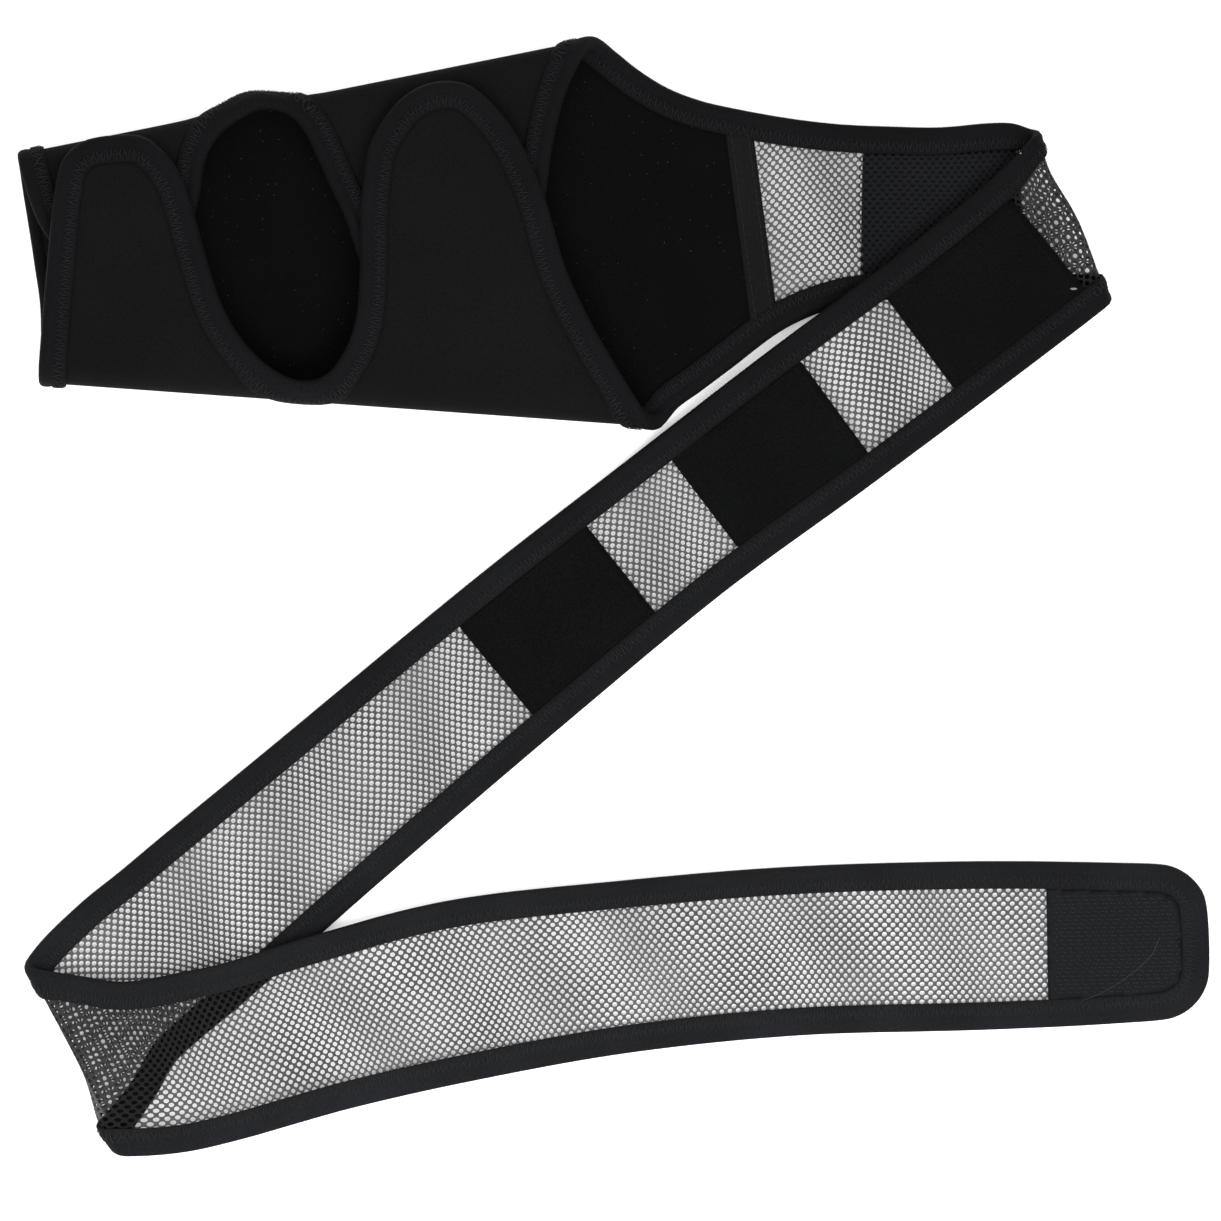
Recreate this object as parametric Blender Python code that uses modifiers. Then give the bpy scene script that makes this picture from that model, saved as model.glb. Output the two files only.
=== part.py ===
"""Dog knee brace: a neoprene leg sleeve that closes in layers, on a long mesh body strap.

The brace is cut from one flat outline, bound with tape all the way round. Along the leg the
neoprene is folded up on both sides: the upper front comes over from the top fold, and two
round flaps come up from the low fold and fasten on it, leaving an oval opening for the knee.
The strap carries on from the back of the sleeve and lies folded twice, in a Z.

Every piece is made flat, as (x, y, height over the middle of the sheet), and place() then
carries each of its points round the folds.
"""

import math

import bmesh
import bpy
from mathutils import Matrix, Vector
from mathutils.geometry import intersect_line_line_2d

# Sleeve, in metres
SLEEVE_LENGTH = 0.2205  # along the leg, ankle end to body end
SLEEVE_WIDE = 0.1393  # fold to fold at the body end
SLEEVE_NARROW = 0.0793  # fold to fold at the ankle end
LOW_FOLD_RISE = 0.0158  # how far the low fold climbs towards the ankle end
NEOPRENE = 0.003
FRONT_BEND = 0.0045  # bend radius of the top fold, to the middle of the sheet
FRONT_CROWN = 0.003  # how far the front layers stand up over the leg
CROWN_FADE = (0.8, 1.1)  # shares of the length between which that height dies away
APRON = 0.0402  # neoprene past the sleeve, up to the seam

# Strap
STRAP_WIDTH = 0.0592
STRAP_MESH = 0.0012
STRAP_BEND = 0.0036
RUN_1 = 0.1053  # seam to first fold
RUN_2 = 0.4613  # first fold to second fold
RUN_3 = 0.3990  # second fold to the tip
HEADING_1 = math.radians(-1.0)
HEADING_2 = math.radians(-140.0)
HEADING_3 = math.radians(16.4)
AXIS_HEIGHT = 0.561  # share of SLEEVE_WIDE at which the strap leaves the sleeve
TIP_RADIUS = 0.0180
SETTLE = 0.085  # length in which a raised run comes down to the floor
RUN_1_BELOW = 0.53  # share of the width that run 1 reaches below its axis
RUN_2_BESIDE = 0.42  # share of the width that run 2 reaches beside its axis

# Binding tape and patches
TAPE_WALL = 0.001
TAPE_WIDTH = 0.0098
TAPE_ROUND = 0.0011  # chamfer along the folded edge of the tape
SEAM_SLANT = 0.15
PATCH_THICK = 0.001
PATCH_LENGTH = 0.0565
PATCH_PITCH = 0.0935
FIRST_WINDOW = 0.0346  # bare mesh between the seam and the first patch
HOOK_LENGTH = 0.0430

GAP = 0.0003  # clearance between touching pieces
SLEEVE_CELL = 0.018  # spacing of the cuts that let a sheet follow its folds
STRAP_CELL = 0.017
TURN_STEP = math.radians(11)  # most that an edge turns between two points
BEND_STEPS = 7

TAPE_HALF = NEOPRENE / 2 + GAP + TAPE_WALL
FLAP_BEND = FRONT_BEND + TAPE_HALF + GAP / 2
EDGE_INSET = TAPE_WALL + GAP

# Edges of the sleeve as they lie: share along the sleeve, share from the low fold to the top
# fold. Each table runs anticlockwise round the flat outline.
UPPER_APRON = ("back", (
    (1.130, 0.773), (1.083, 0.800), (1.032, 0.842), (0.985, 0.900), (0.952, 0.952)))
FRONT_EDGE = ("front", (
    (0.884, 0.918), (0.870, 0.866), (0.859, 0.805), (0.848, 0.719), (0.840, 0.621),
    (0.829, 0.519), (0.800, 0.400), (0.745, 0.295), (0.660, 0.261), (0.595, 0.300),
    (0.553, 0.410)))
KNEE_NOTCH = ("front", (
    (0.521, 0.587), (0.500, 0.678), (0.476, 0.793), (0.457, 0.881), (0.433, 0.943),
    (0.400, 0.973), (0.363, 0.967), (0.329, 0.929), (0.308, 0.877), (0.298, 0.808)))
SMALL_LOBE = ("front", (
    (0.294, 0.741), (0.286, 0.657), (0.270, 0.561), (0.238, 0.482), (0.190, 0.446),
    (0.130, 0.462), (0.083, 0.526), (0.048, 0.627), (0.025, 0.763)))
ANKLE_END = ("back", ((0.008, 0.850), (0.016, 0.710), (0.027, 0.511), (0.037, 0.290)))
SMALL_FLAP = ("flap", (
    (0.049, 0.400), (0.056, 0.612), (0.063, 0.791), (0.076, 0.928), (0.105, 0.988),
    (0.156, 0.991), (0.206, 0.959), (0.241, 0.877), (0.265, 0.787), (0.278, 0.702),
    (0.292, 0.586), (0.311, 0.432), (0.332, 0.300), (0.365, 0.185)))
GUSSET = ("flap", ((0.410, 0.099), (0.454, 0.067), (0.492, 0.091), (0.522, 0.173)))
LARGE_FLAP = ("flap", (
    (0.538, 0.261), (0.545, 0.400), (0.546, 0.583), (0.551, 0.701), (0.562, 0.810),
    (0.610, 0.929), (0.660, 0.960), (0.716, 0.934), (0.779, 0.811), (0.830, 0.628),
    (0.870, 0.403), (0.900, 0.291), (0.935, 0.187)))
LOWER_APRON = ("back", ((1.017, 0.010), (1.043, 0.045), (1.083, 0.094), (1.130, 0.150)))

# Strap: run, share of the run, middle and half width as shares of STRAP_WIDTH
STRAP_ROWS = (
    (1, 0.00, -0.148, 0.680), (1, 0.10, -0.096, 0.610), (1, 0.20, -0.066, 0.560),
    (1, 0.34, -0.038, 0.521), (1, 0.60, -0.025, 0.507), (1, 0.86, -0.003, 0.529),
    (2, 0.02, -0.025, 0.512), (2, 0.14, 0.000, 0.497), (2, 0.27, 0.058, 0.498),
    (2, 0.40, 0.113, 0.484), (2, 0.54, 0.139, 0.500), (2, 0.75, 0.139, 0.514),
    (2, 0.90, 0.127, 0.535), (2, 0.97, 0.105, 0.535),
    (3, 0.05, -0.140, 0.515), (3, 0.11, -0.222, 0.507), (3, 0.24, -0.226, 0.523),
    (3, 0.36, -0.265, 0.539), (3, 0.50, -0.400, 0.510), (3, 0.65, -0.600, 0.500),
    (3, 0.80, -0.865, 0.500), (3, 0.90, -1.050, 0.482), (3, 1.00, -1.232, 0.448))

# Hidden fastening pads: share along the sleeve and across it, length and width in metres
PADS = (
    ("small_flap_pad", 0.172, 0.695, 0.016, 0.017),
    ("large_flap_pad", 0.672, 0.600, 0.028, 0.036))


def unit(angle):
    return Vector((math.cos(angle), math.sin(angle)))


def ramp(value):
    """0 below 0, 1 above 1, and smooth between."""
    value = min(max(value, 0.0), 1.0)
    return value * value * (3 - 2 * value)


class Fold:
    """A line that the flat sheet is bent round, half a turn, up (side 1) or down (side -1)."""

    def __init__(self, origin, outward, radius, side):
        self.origin, self.outward, self.radius, self.side = origin, outward, radius, side

    def past(self, point):
        """How far a flat point lies past the line."""
        return (point.xy - self.origin).dot(self.outward)

    def bend(self, point, over=False):
        """Carry a point (x, y, height) round the fold. A run known to be over it stays flat."""
        past = self.past(point)
        if past <= 0 and not over:
            return point
        radius, height = self.radius, self.side * point.z
        if past < math.pi * radius and not over:
            turn = past / radius
            out = (radius - height) * math.sin(turn)
            height = radius - (radius - height) * math.cos(turn)
        else:
            out = math.pi * radius - past
            height = 2 * radius - height
        spot = point.xy + self.outward * (out - past)
        return Vector((spot.x, spot.y, self.side * height))

    def unfold(self, spot, over):
        """The flat point of a spot seen on the sheet, or on the layer that is folded over."""
        past = self.past(spot)
        if past > 0:
            turn = math.asin(min(past / self.radius, 1.0))
            flat = self.radius * (math.pi - turn if over else turn)
        else:
            flat = math.pi * self.radius - past if over else past
        return spot + self.outward * (flat - past)


def sleeve_folds():
    """The top fold and the low fold, set in from the sleeve's silhouette."""
    top_angle = math.atan2(SLEEVE_WIDE - SLEEVE_NARROW - LOW_FOLD_RISE, SLEEVE_LENGTH)
    low_angle = math.atan2(-LOW_FOLD_RISE, SLEEVE_LENGTH)
    top_out, low_out = unit(top_angle + math.pi / 2), unit(low_angle - math.pi / 2)
    top = Vector((SLEEVE_LENGTH, SLEEVE_WIDE)) - top_out * (FRONT_BEND + NEOPRENE / 2)
    low = Vector((SLEEVE_LENGTH, 0.0)) - low_out * (FLAP_BEND + NEOPRENE / 2)
    return Fold(top, top_out, FRONT_BEND, 1), Fold(low, low_out, FLAP_BEND, 1)


TOP_FOLD, LOW_FOLD = sleeve_folds()

# The strap's flat axis runs straight, from the seam through both of its folds.
AXIS, ACROSS = unit(HEADING_1), unit(HEADING_1 + math.pi / 2)
FOLD_1_AT = Vector((SLEEVE_LENGTH, AXIS_HEIGHT * SLEEVE_WIDE)) + AXIS * (APRON + RUN_1)
FOLD_1_ANGLE = (HEADING_1 + HEADING_2) / 2
FOLD_2_ANGLE = (HEADING_2 + HEADING_3) / 2
FOLD_1 = Fold(FOLD_1_AT, unit(FOLD_1_ANGLE + math.pi / 2), STRAP_BEND, 1)
FOLD_2 = Fold(
    FOLD_1_AT + AXIS * RUN_2, unit(2 * FOLD_1_ANGLE - FOLD_2_ANGLE + math.pi / 2), STRAP_BEND, -1)
RUN_2_MIDDLE = FOLD_1.bend((FOLD_1_AT + AXIS * RUN_2 / 2).to_3d()).xy
RUN_2_SIDE = unit(HEADING_2 + math.pi / 2)


def station(flat):
    """Distance along the strap's flat axis from the first fold."""
    return (flat.xy - FOLD_1_AT).dot(AXIS)


def sheet_gap(flat):
    """Half the space inside the tape: wide round neoprene, narrow round the strap's mesh."""
    after_seam = (station(flat) + RUN_1 - TAPE_WALL) / (RUN_1 / 3)
    return GAP + (NEOPRENE + (STRAP_MESH - NEOPRENE) * ramp(after_seam)) / 2


def crown(spot):
    """The front layers of the sleeve stand up in the middle."""
    along = spot.x / SLEEVE_LENGTH
    low, high = fold_heights(along)
    across = 2 * (spot.y - low) / (high - low) - 1
    if abs(across) >= 1:
        return 0.0
    ends = 1 - ramp((along - CROWN_FADE[0]) / (CROWN_FADE[1] - CROWN_FADE[0]))
    return FRONT_CROWN * (1 - across * across) * ends * ramp(spot.z / (2 * FRONT_BEND))


def place(flat):
    """Where a point of the flat brace lies once it is folded and laid on the floor."""
    spot = flat
    for fold in (TOP_FOLD, LOW_FOLD, FOLD_2):
        spot = fold.bend(spot)
    spot = FOLD_1.bend(spot, over=FOLD_2.past(flat) > 0)
    height = spot.z + crown(spot) + sheet_gap(flat) + TAPE_WALL
    loose_1 = ramp((FOLD_1.past(flat) - math.pi * STRAP_BEND) / SETTLE)
    below_run_1 = -(spot.xy - FOLD_1_AT).dot(ACROSS) - RUN_1_BELOW * STRAP_WIDTH
    height -= 2 * STRAP_BEND * loose_1 * ramp(below_run_1 / SETTLE)
    loose_2 = ramp((FOLD_2.past(flat) - math.pi * STRAP_BEND) / SETTLE)
    beside_run_2 = (spot.xy - RUN_2_MIDDLE).dot(RUN_2_SIDE) - RUN_2_BESIDE * STRAP_WIDTH
    height -= 2 * STRAP_BEND * loose_2 * ramp(beside_run_2 / SETTLE)
    return Vector((spot.x, spot.y, height))


def fold_heights(along):
    """Y of the low and the top silhouette of the sleeve at a share of its length."""
    low = LOW_FOLD_RISE * (1 - along)
    high = (LOW_FOLD_RISE + SLEEVE_NARROW) * (1 - along) + SLEEVE_WIDE * along
    return low, high


def sleeve_spot(along, across):
    low, high = fold_heights(along)
    return Vector((along * SLEEVE_LENGTH, low + across * (high - low)))


def flat_edge(edge):
    """The flat points of one of the edge tables."""
    layer, rows = edge
    spots = [sleeve_spot(along, across) for along, across in rows]
    if layer == "front":
        return [TOP_FOLD.unfold(spot, True) for spot in spots]
    if layer == "flap":
        return [LOW_FOLD.unfold(spot, True) for spot in spots]
    return [LOW_FOLD.unfold(TOP_FOLD.unfold(spot, False), False) for spot in spots]


def strap_stations():
    """STRAP_ROWS as (distance from the first fold, middle, half width) in metres."""
    starts = {1: (-RUN_1, RUN_1), 2: (0.0, RUN_2), 3: (RUN_2, RUN_3)}
    return [
        (starts[run][0] + share * starts[run][1], middle * STRAP_WIDTH, half * STRAP_WIDTH)
        for run, share, middle, half in STRAP_ROWS]


STATIONS = strap_stations()


def read_row(at, column):
    """A column of STATIONS at any distance, on a smooth curve through its rows."""
    last = len(STATIONS) - 1
    i = 0
    while i < last - 1 and STATIONS[i + 1][0] < at:
        i += 1

    def slope(k):
        a, b = STATIONS[max(k - 1, 0)], STATIONS[min(k + 1, last)]
        return (b[column] - a[column]) / (b[0] - a[0])

    start, end = STATIONS[i], STATIONS[i + 1]
    span = end[0] - start[0]
    t = (at - start[0]) / span
    return (
        start[column] * (1 + 2 * t) * (1 - t) ** 2
        + slope(i) * span * t * (1 - t) ** 2
        + end[column] * t * t * (3 - 2 * t)
        - slope(i + 1) * span * t * t * (1 - t))


def strap_point(at, offset):
    """The flat point at a distance along the strap and an offset square to its middle line."""
    step = 0.004
    middle = read_row(at, 1)
    lean = 0.0
    if at > 0:
        lean = math.atan((read_row(at + step, 1) - read_row(at - step, 1)) / (2 * step))
    along = at - offset * math.sin(lean)
    return FOLD_1_AT + AXIS * along + ACROSS * (middle + offset * math.cos(lean))


def rail(at, side):
    """The flat point of the strap's upper (side 1) or lower (side -1) edge."""
    return strap_point(at, side * read_row(at, 2))


TIP_AT = RUN_2 + RUN_3


def tip_arc(side):
    """The rounded corner of the strap's tip, from the middle of the end to the edge."""
    at = TIP_AT - TIP_RADIUS
    half = read_row(at, 2)
    points = []
    for k in range(6):
        turn = math.pi / 2 * k / 5
        points.append(strap_point(
            at + TIP_RADIUS * math.cos(turn),
            side * (half - TIP_RADIUS + TIP_RADIUS * math.sin(turn))))
    return points


def steps(start, end, spacing):
    count = max(1, math.ceil(abs(end - start) / spacing))
    return [start + (end - start) * k / count for k in range(count + 1)]


def outline_knots():
    """The whole edge of the flat brace, anticlockwise, and where each binding starts."""
    ats = steps(-RUN_1 + STRAP_CELL / 2, TIP_AT - TIP_RADIUS - STRAP_CELL / 2, STRAP_CELL)
    knots = [rail(at, -1) for at in ats]
    knots += list(reversed(tip_arc(-1)))
    tip = len(knots) - 1
    knots += tip_arc(1)[1:]
    knots += [rail(at, 1) for at in reversed(ats)]
    seam_top = len(knots) - 1
    for edge in (UPPER_APRON, FRONT_EDGE, KNEE_NOTCH, SMALL_LOBE, ANKLE_END):
        knots += flat_edge(edge)
    ankle = len(knots) - 3
    for edge in (SMALL_FLAP, GUSSET, LARGE_FLAP, LOWER_APRON):
        knots += flat_edge(edge)
    return knots, (0, tip, seam_top, ankle)


def curve_through(knots, i, t):
    """A point between knot i and the next, on a centripetal curve through a closed list."""
    n = len(knots)
    p = [knots[(i + k) % n] for k in (-1, 0, 1, 2)]
    g = [0.0]
    for a, b in zip(p, p[1:]):
        g.append(g[-1] + math.sqrt((b - a).length))
    at = g[1] + t * (g[2] - g[1])

    def mix(a, b, low, high):
        return a * ((high - at) / (high - low)) + b * ((at - low) / (high - low))

    a1, a2, a3 = (mix(p[k], p[k + 1], g[k], g[k + 1]) for k in range(3))
    b1, b2 = mix(a1, a2, g[0], g[2]), mix(a2, a3, g[1], g[3])
    return mix(b1, b2, g[1], g[2])


def smooth_outline():
    """The edge as points close enough to be drawn with straight lines, with inward normals."""
    knots, starts = outline_knots()
    fine, marks = [], []
    for i in range(len(knots)):
        if i in starts:
            marks.append(len(fine))
        fine += [curve_through(knots, i, k / 8) for k in range(8)]
    n = len(fine)
    headings = [(fine[(k + 1) % n] - fine[k - 1]).normalized() for k in range(n)]
    kept, marked, turned, run = [], [], 0.0, 0.0
    for k in range(n):
        turned += abs(headings[k].angle_signed(headings[k - 1], 0.0))
        run += (fine[k] - fine[k - 1]).length
        if k in marks or turned > TURN_STEP or run > STRAP_CELL:
            if k in marks:
                marked.append(len(kept))
            kept.append((fine[k], headings[k].orthogonal()))
            turned, run = 0.0, 0.0
    return kept, marked


OUTLINE, MARKS = smooth_outline()


def inset_outline(points, inset):
    return [point + inward * inset for point, inward in points]


def seam_station(offset, back=0.0):
    """Distance along the strap of the seam's right edge, less back, at an offset."""
    return -RUN_1 - SEAM_SLANT * offset - back * math.hypot(1, SEAM_SLANT)


def seam_point(offset, back=0.0):
    return FOLD_1_AT + AXIS * seam_station(offset, back) + ACROSS * offset


SEAM_OUT = (AXIS + ACROSS * SEAM_SLANT).normalized()


def cut(bm, at, out, drop=None):
    """Cut the flat faces along a line, and drop what lies outside or inside of it."""
    bmesh.ops.bisect_plane(
        bm, geom=bm.verts[:] + bm.edges[:] + bm.faces[:], dist=1e-7,
        plane_co=(at.x, at.y, 0.0), plane_no=(out.x, out.y, 0.0),
        clear_outer=drop == "outside", clear_inner=drop == "inside")


def cut_at_folds(bm):
    """Cut a flat piece across every fold that it reaches, so that it can bend there."""
    for fold in (TOP_FOLD, LOW_FOLD, FOLD_1, FOLD_2):
        reach = [fold.past(v.co) for v in bm.verts]
        for k in range(BEND_STEPS + 1):
            past = math.pi * fold.radius * k / BEND_STEPS
            if min(reach) < past < max(reach):
                cut(bm, fold.origin + fold.outward * past, fold.outward)


def cut_cells(bm, cell):
    """Cut a flat piece into square cells, in line with the strap."""
    for out in (AXIS, ACROSS):
        reach = [v.co.xy.dot(out) for v in bm.verts]
        for distance in steps(min(reach), max(reach), cell)[1:-1]:
            cut(bm, out * distance, out)


def finish(name, bm, colour, roughness):
    """Fold the flat solid, put its origin at its middle and give it its material."""
    if bm.calc_volume(signed=True) < 0:
        bmesh.ops.reverse_faces(bm, faces=bm.faces)
    for vertex in bm.verts:
        vertex.co = place(vertex.co)
    mesh = bpy.data.meshes.new(name)
    bm.to_mesh(mesh)
    bm.free()
    return add_object(name, mesh, colour, roughness)


def add_object(name, mesh, colour, roughness):
    corners = [v.co for v in mesh.vertices]
    middle = Vector([(min(c[k] for c in corners) + max(c[k] for c in corners)) / 2 for k in range(3)])
    mesh.transform(Matrix.Translation(-middle))
    mesh.shade_smooth()
    mesh.set_sharp_from_angle(angle=math.radians(35))
    obj = bpy.data.objects.new(name, mesh)
    obj.location = middle
    obj.data.materials.append(cloth(name, colour, roughness))
    bpy.data.collections["dog_knee_brace"].objects.link(obj)
    return obj


def cloth(name, colour, roughness):
    material = bpy.data.materials.new(name)
    material.use_nodes = True
    shader = material.node_tree.nodes["Principled BSDF"]
    shader.inputs["Base Color"].default_value = (*colour, 1.0)
    shader.inputs["Roughness"].default_value = roughness
    shader.inputs["Metallic"].default_value = 0.0
    return material


def flat_face(points):
    bm = bmesh.new()
    bm.faces.new([bm.verts.new((p.x, p.y, 0.0)) for p in points])
    bm.normal_update()
    return bm


def thicken(bm, low, high):
    """Turn flat faces into a solid between two heights over the middle of the sheet."""
    mesh = bpy.data.meshes.new("flat")
    bm.to_mesh(mesh)
    bm.free()
    sheet = bpy.data.objects.new("flat", mesh)
    bpy.context.scene.collection.objects.link(sheet)
    solid = sheet.modifiers.new("Solidify", "SOLIDIFY")
    solid.thickness = high - low
    solid.offset = 0.0
    solid.use_even_offset = False
    bpy.context.view_layer.update()
    result = sheet.evaluated_get(bpy.context.evaluated_depsgraph_get())
    thick = bpy.data.meshes.new_from_object(result)
    bm = bmesh.new()
    bm.from_mesh(thick)
    bmesh.ops.translate(bm, vec=(0.0, 0.0, (high + low) / 2), verts=bm.verts)
    bpy.data.objects.remove(sheet)
    bpy.data.meshes.remove(mesh)
    bpy.data.meshes.remove(thick)
    return bm


def tape_section(flat):
    """Half section of folded tape: distance in from its edge, height. It is open inwards."""
    inner = sheet_gap(flat)
    outer = inner + TAPE_WALL
    return (
        (TAPE_WIDTH, outer), (TAPE_ROUND, outer), (0.0, outer - TAPE_ROUND),
        (0.0, TAPE_ROUND - outer), (TAPE_ROUND, -outer), (TAPE_WIDTH, -outer),
        (TAPE_WIDTH, -inner), (TAPE_WALL, -inner), (TAPE_WALL, inner), (TAPE_WIDTH, inner))


def sweep(rings):
    """A solid through rings of as many points each, closed at both ends."""
    bm = bmesh.new()
    loops = [[bm.verts.new(point) for point in ring] for ring in rings]
    count = len(loops[0])
    for before, after in zip(loops, loops[1:]):
        for k in range(count):
            bm.faces.new((before[k], before[(k + 1) % count], after[(k + 1) % count], after[k]))
    bm.faces.new(loops[0])
    bm.faces.new(reversed(loops[-1]))
    bmesh.ops.recalc_face_normals(bm, faces=bm.faces)
    return bm


def tape_ring(point, inward):
    return [(*(point + inward * depth), height) for depth, height in tape_section(point)]


def binding(name, first, last):
    """Tape folded over the edge from one mark of the outline to the next."""
    count = len(OUTLINE)
    end = last if last > first else last + count
    run = [OUTLINE[k % count] for k in range(first, end + 1)]
    direction = (run[-2][0] - run[-1][0]).normalized()
    run[-1] = (run[-1][0] + direction * GAP, run[-1][1])
    bm = sweep([tape_ring(point, inward) for point, inward in run])
    cut_at_folds(bm)
    return finish(name, bm, (0.015, 0.015, 0.017), 0.85)


def edge_limit(side, back):
    """Offset at which the seam tape, back from its right edge, meets the inside of the binding."""
    inner = inset_outline(OUTLINE, TAPE_WIDTH + GAP)
    start, end = seam_point(0.0, back), seam_point(2 * side * STRAP_WIDTH, back)
    hits = [
        intersect_line_line_2d(start, end, a, b) for a, b in zip(inner, inner[1:] + inner[:1])]
    return side * min(abs((hit - start).dot(ACROSS)) for hit in hits if hit)


def seam_tape():
    """Tape over the end of the neoprene, which the strap's mesh is sewn to."""
    middle = seam_point(0.0)
    rings = []
    for share in (0.0, 0.25, 0.5, 0.75, 1.0):
        ring = []
        for depth, height in tape_section(middle):
            low, high = edge_limit(-1, depth), edge_limit(1, depth)
            spot = seam_point(low + share * (high - low), depth)
            ring.append((spot.x, spot.y, height))
        rings.append(ring)
    return finish("seam_tape", sweep(rings), (0.012, 0.012, 0.013), 0.85)


def sleeve_panel():
    """The neoprene, from the seam to the ankle end, with both fronts and both flaps."""
    bm = flat_face(inset_outline(OUTLINE, EDGE_INSET))
    cut(bm, seam_point(0.0, EDGE_INSET), SEAM_OUT, drop="outside")
    cut_cells(bm, SLEEVE_CELL)
    cut_at_folds(bm)
    return finish("sleeve_panel", thicken(bm, -NEOPRENE / 2, NEOPRENE / 2), (0.010, 0.010, 0.011), 0.9)


def strap_mesh():
    """The strap's open mesh, from the seam to the tip."""
    bm = flat_face(inset_outline(OUTLINE, EDGE_INSET))
    cut(bm, seam_point(0.0, -GAP), SEAM_OUT, drop="inside")
    cut_cells(bm, STRAP_CELL)
    cut_at_folds(bm)
    return finish("strap_mesh", thicken(bm, -STRAP_MESH / 2, STRAP_MESH / 2), (0.035, 0.035, 0.037), 0.7)


def strip(start, end):
    """The flat strap between its bindings, from one distance along it to another."""
    reach = [
        pair for pair in OUTLINE
        if start - STRAP_WIDTH < station(pair[0]) < end + STRAP_WIDTH]
    bm = flat_face(inset_outline(reach, TAPE_WIDTH + GAP))
    for at, out in ((start, 1), (end, -1)):
        middle, edge = strap_point(at, 0.0), strap_point(at, STRAP_WIDTH)
        cut(bm, middle, (edge - middle).orthogonal().normalized() * out, drop="outside")
    return bm


def loop_patch(letter, start):
    """A soft patch on the outer face of the strap, between the bindings."""
    bm = strip(start, start + PATCH_LENGTH)
    cut_cells(bm, STRAP_CELL)
    cut_at_folds(bm)
    under = -STRAP_MESH / 2 - GAP
    return finish(
        "loop_patch_" + letter, thicken(bm, under - PATCH_THICK, under), (0.007, 0.007, 0.008), 0.95)


def hook_patch():
    """The hook patch on the inner face of the tip, which fastens on any loop patch."""
    bm = strip(TIP_AT - TAPE_WIDTH - HOOK_LENGTH, TIP_AT)
    over = STRAP_MESH / 2 + GAP
    return finish("hook_patch", thicken(bm, over, over + PATCH_THICK), (0.018, 0.018, 0.021), 0.8)


def flap_pad(name, along, across, length, width):
    """A plain pad between a flap and the upper front, where the flap fastens."""
    low = 2 * FRONT_BEND + NEOPRENE / 2 + GAP
    high = 2 * FLAP_BEND - NEOPRENE / 2 - GAP
    middle = sleeve_spot(along, across)
    bpy.ops.mesh.primitive_cube_add(size=1.0, location=(0.0, 0.0, 0.0))
    block = bpy.context.active_object
    mesh = block.data.copy()
    bpy.data.objects.remove(block)
    mesh.transform(Matrix.Diagonal((length, width, high - low, 1.0)))
    mesh.transform(Matrix.Translation((middle.x, middle.y, (low + high) / 2)))
    bm = bmesh.new()
    bm.from_mesh(mesh)
    upright = [e for e in bm.edges if abs(e.verts[0].co.z - e.verts[1].co.z) > (high - low) / 2]
    bmesh.ops.bevel(
        bm, geom=upright, offset=min(length, width) / 4, segments=3, profile=0.5,
        affect="EDGES", clamp_overlap=True)
    cut_cells(bm, SLEEVE_CELL / 2)
    for vertex in bm.verts:
        vertex.co.z += crown(vertex.co) + TAPE_HALF
    bm.to_mesh(mesh)
    bm.free()
    mesh.name = name
    return add_object(name, mesh, (0.012, 0.012, 0.012), 0.9)


def recentre(parts):
    """Stand the brace on z = 0 with the middle of its box over the origin."""
    bpy.context.view_layer.update()
    spots = [part.matrix_world @ v.co for part in parts for v in part.data.vertices]
    low = [min(s[k] for s in spots) for k in range(3)]
    high = [max(s[k] for s in spots) for k in range(3)]
    shift = Vector(((low[0] + high[0]) / 2, (low[1] + high[1]) / 2, low[2]))
    for part in parts:
        part.location -= shift


def main():
    for obj in list(bpy.data.objects):
        bpy.data.objects.remove(obj)
    collection = bpy.data.collections.new("dog_knee_brace")
    bpy.context.scene.collection.children.link(collection)
    seam_low, tip, seam_top, ankle = MARKS
    parts = [
        sleeve_panel(), seam_tape(), strap_mesh(),
        binding("strap_binding_lower", seam_low, tip),
        binding("strap_binding_upper", tip, seam_top),
        binding("front_binding", seam_top, ankle),
        binding("flap_binding", ankle, seam_low),
        hook_patch()]
    first = -RUN_1 + FIRST_WINDOW
    parts += [loop_patch(letter, first + k * PATCH_PITCH) for k, letter in enumerate("abcd")]
    parts += [flap_pad(*row) for row in PADS]
    recentre(parts)


main()
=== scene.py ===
# %% [markdown]
# # Dog knee brace, laid flat
# A neoprene leg sleeve that closes in layers, on a long body strap of open mesh. One tape is
# folded over every edge. The brace lies on a white table and is seen from straight above, with
# its strap folded twice, in a Z.
#
# The real brace is cut flat, bound and then folded, so it is built the same way here. Every
# piece is made as flat points (x, y, height over the middle of the cloth) and then carried round
# the folds by one function. Edges, stitches and holes follow every fold for nothing.

# %% Kit
import math

import bmesh
import bpy
import numpy as np
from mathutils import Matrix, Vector
from mathutils.bvhtree import BVHTree


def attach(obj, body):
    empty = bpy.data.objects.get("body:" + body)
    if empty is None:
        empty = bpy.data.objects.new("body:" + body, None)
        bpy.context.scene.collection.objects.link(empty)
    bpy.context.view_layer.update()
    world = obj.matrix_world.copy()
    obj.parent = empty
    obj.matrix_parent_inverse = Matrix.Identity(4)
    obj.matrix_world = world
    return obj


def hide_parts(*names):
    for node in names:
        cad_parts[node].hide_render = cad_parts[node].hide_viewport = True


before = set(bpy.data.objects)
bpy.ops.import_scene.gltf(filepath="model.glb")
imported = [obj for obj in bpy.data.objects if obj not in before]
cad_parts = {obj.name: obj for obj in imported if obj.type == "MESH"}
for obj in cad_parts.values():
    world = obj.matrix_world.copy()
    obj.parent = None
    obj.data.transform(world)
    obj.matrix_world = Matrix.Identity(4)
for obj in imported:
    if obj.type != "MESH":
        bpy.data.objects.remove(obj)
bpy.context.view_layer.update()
print("frame nodes:", len(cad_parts))

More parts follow.
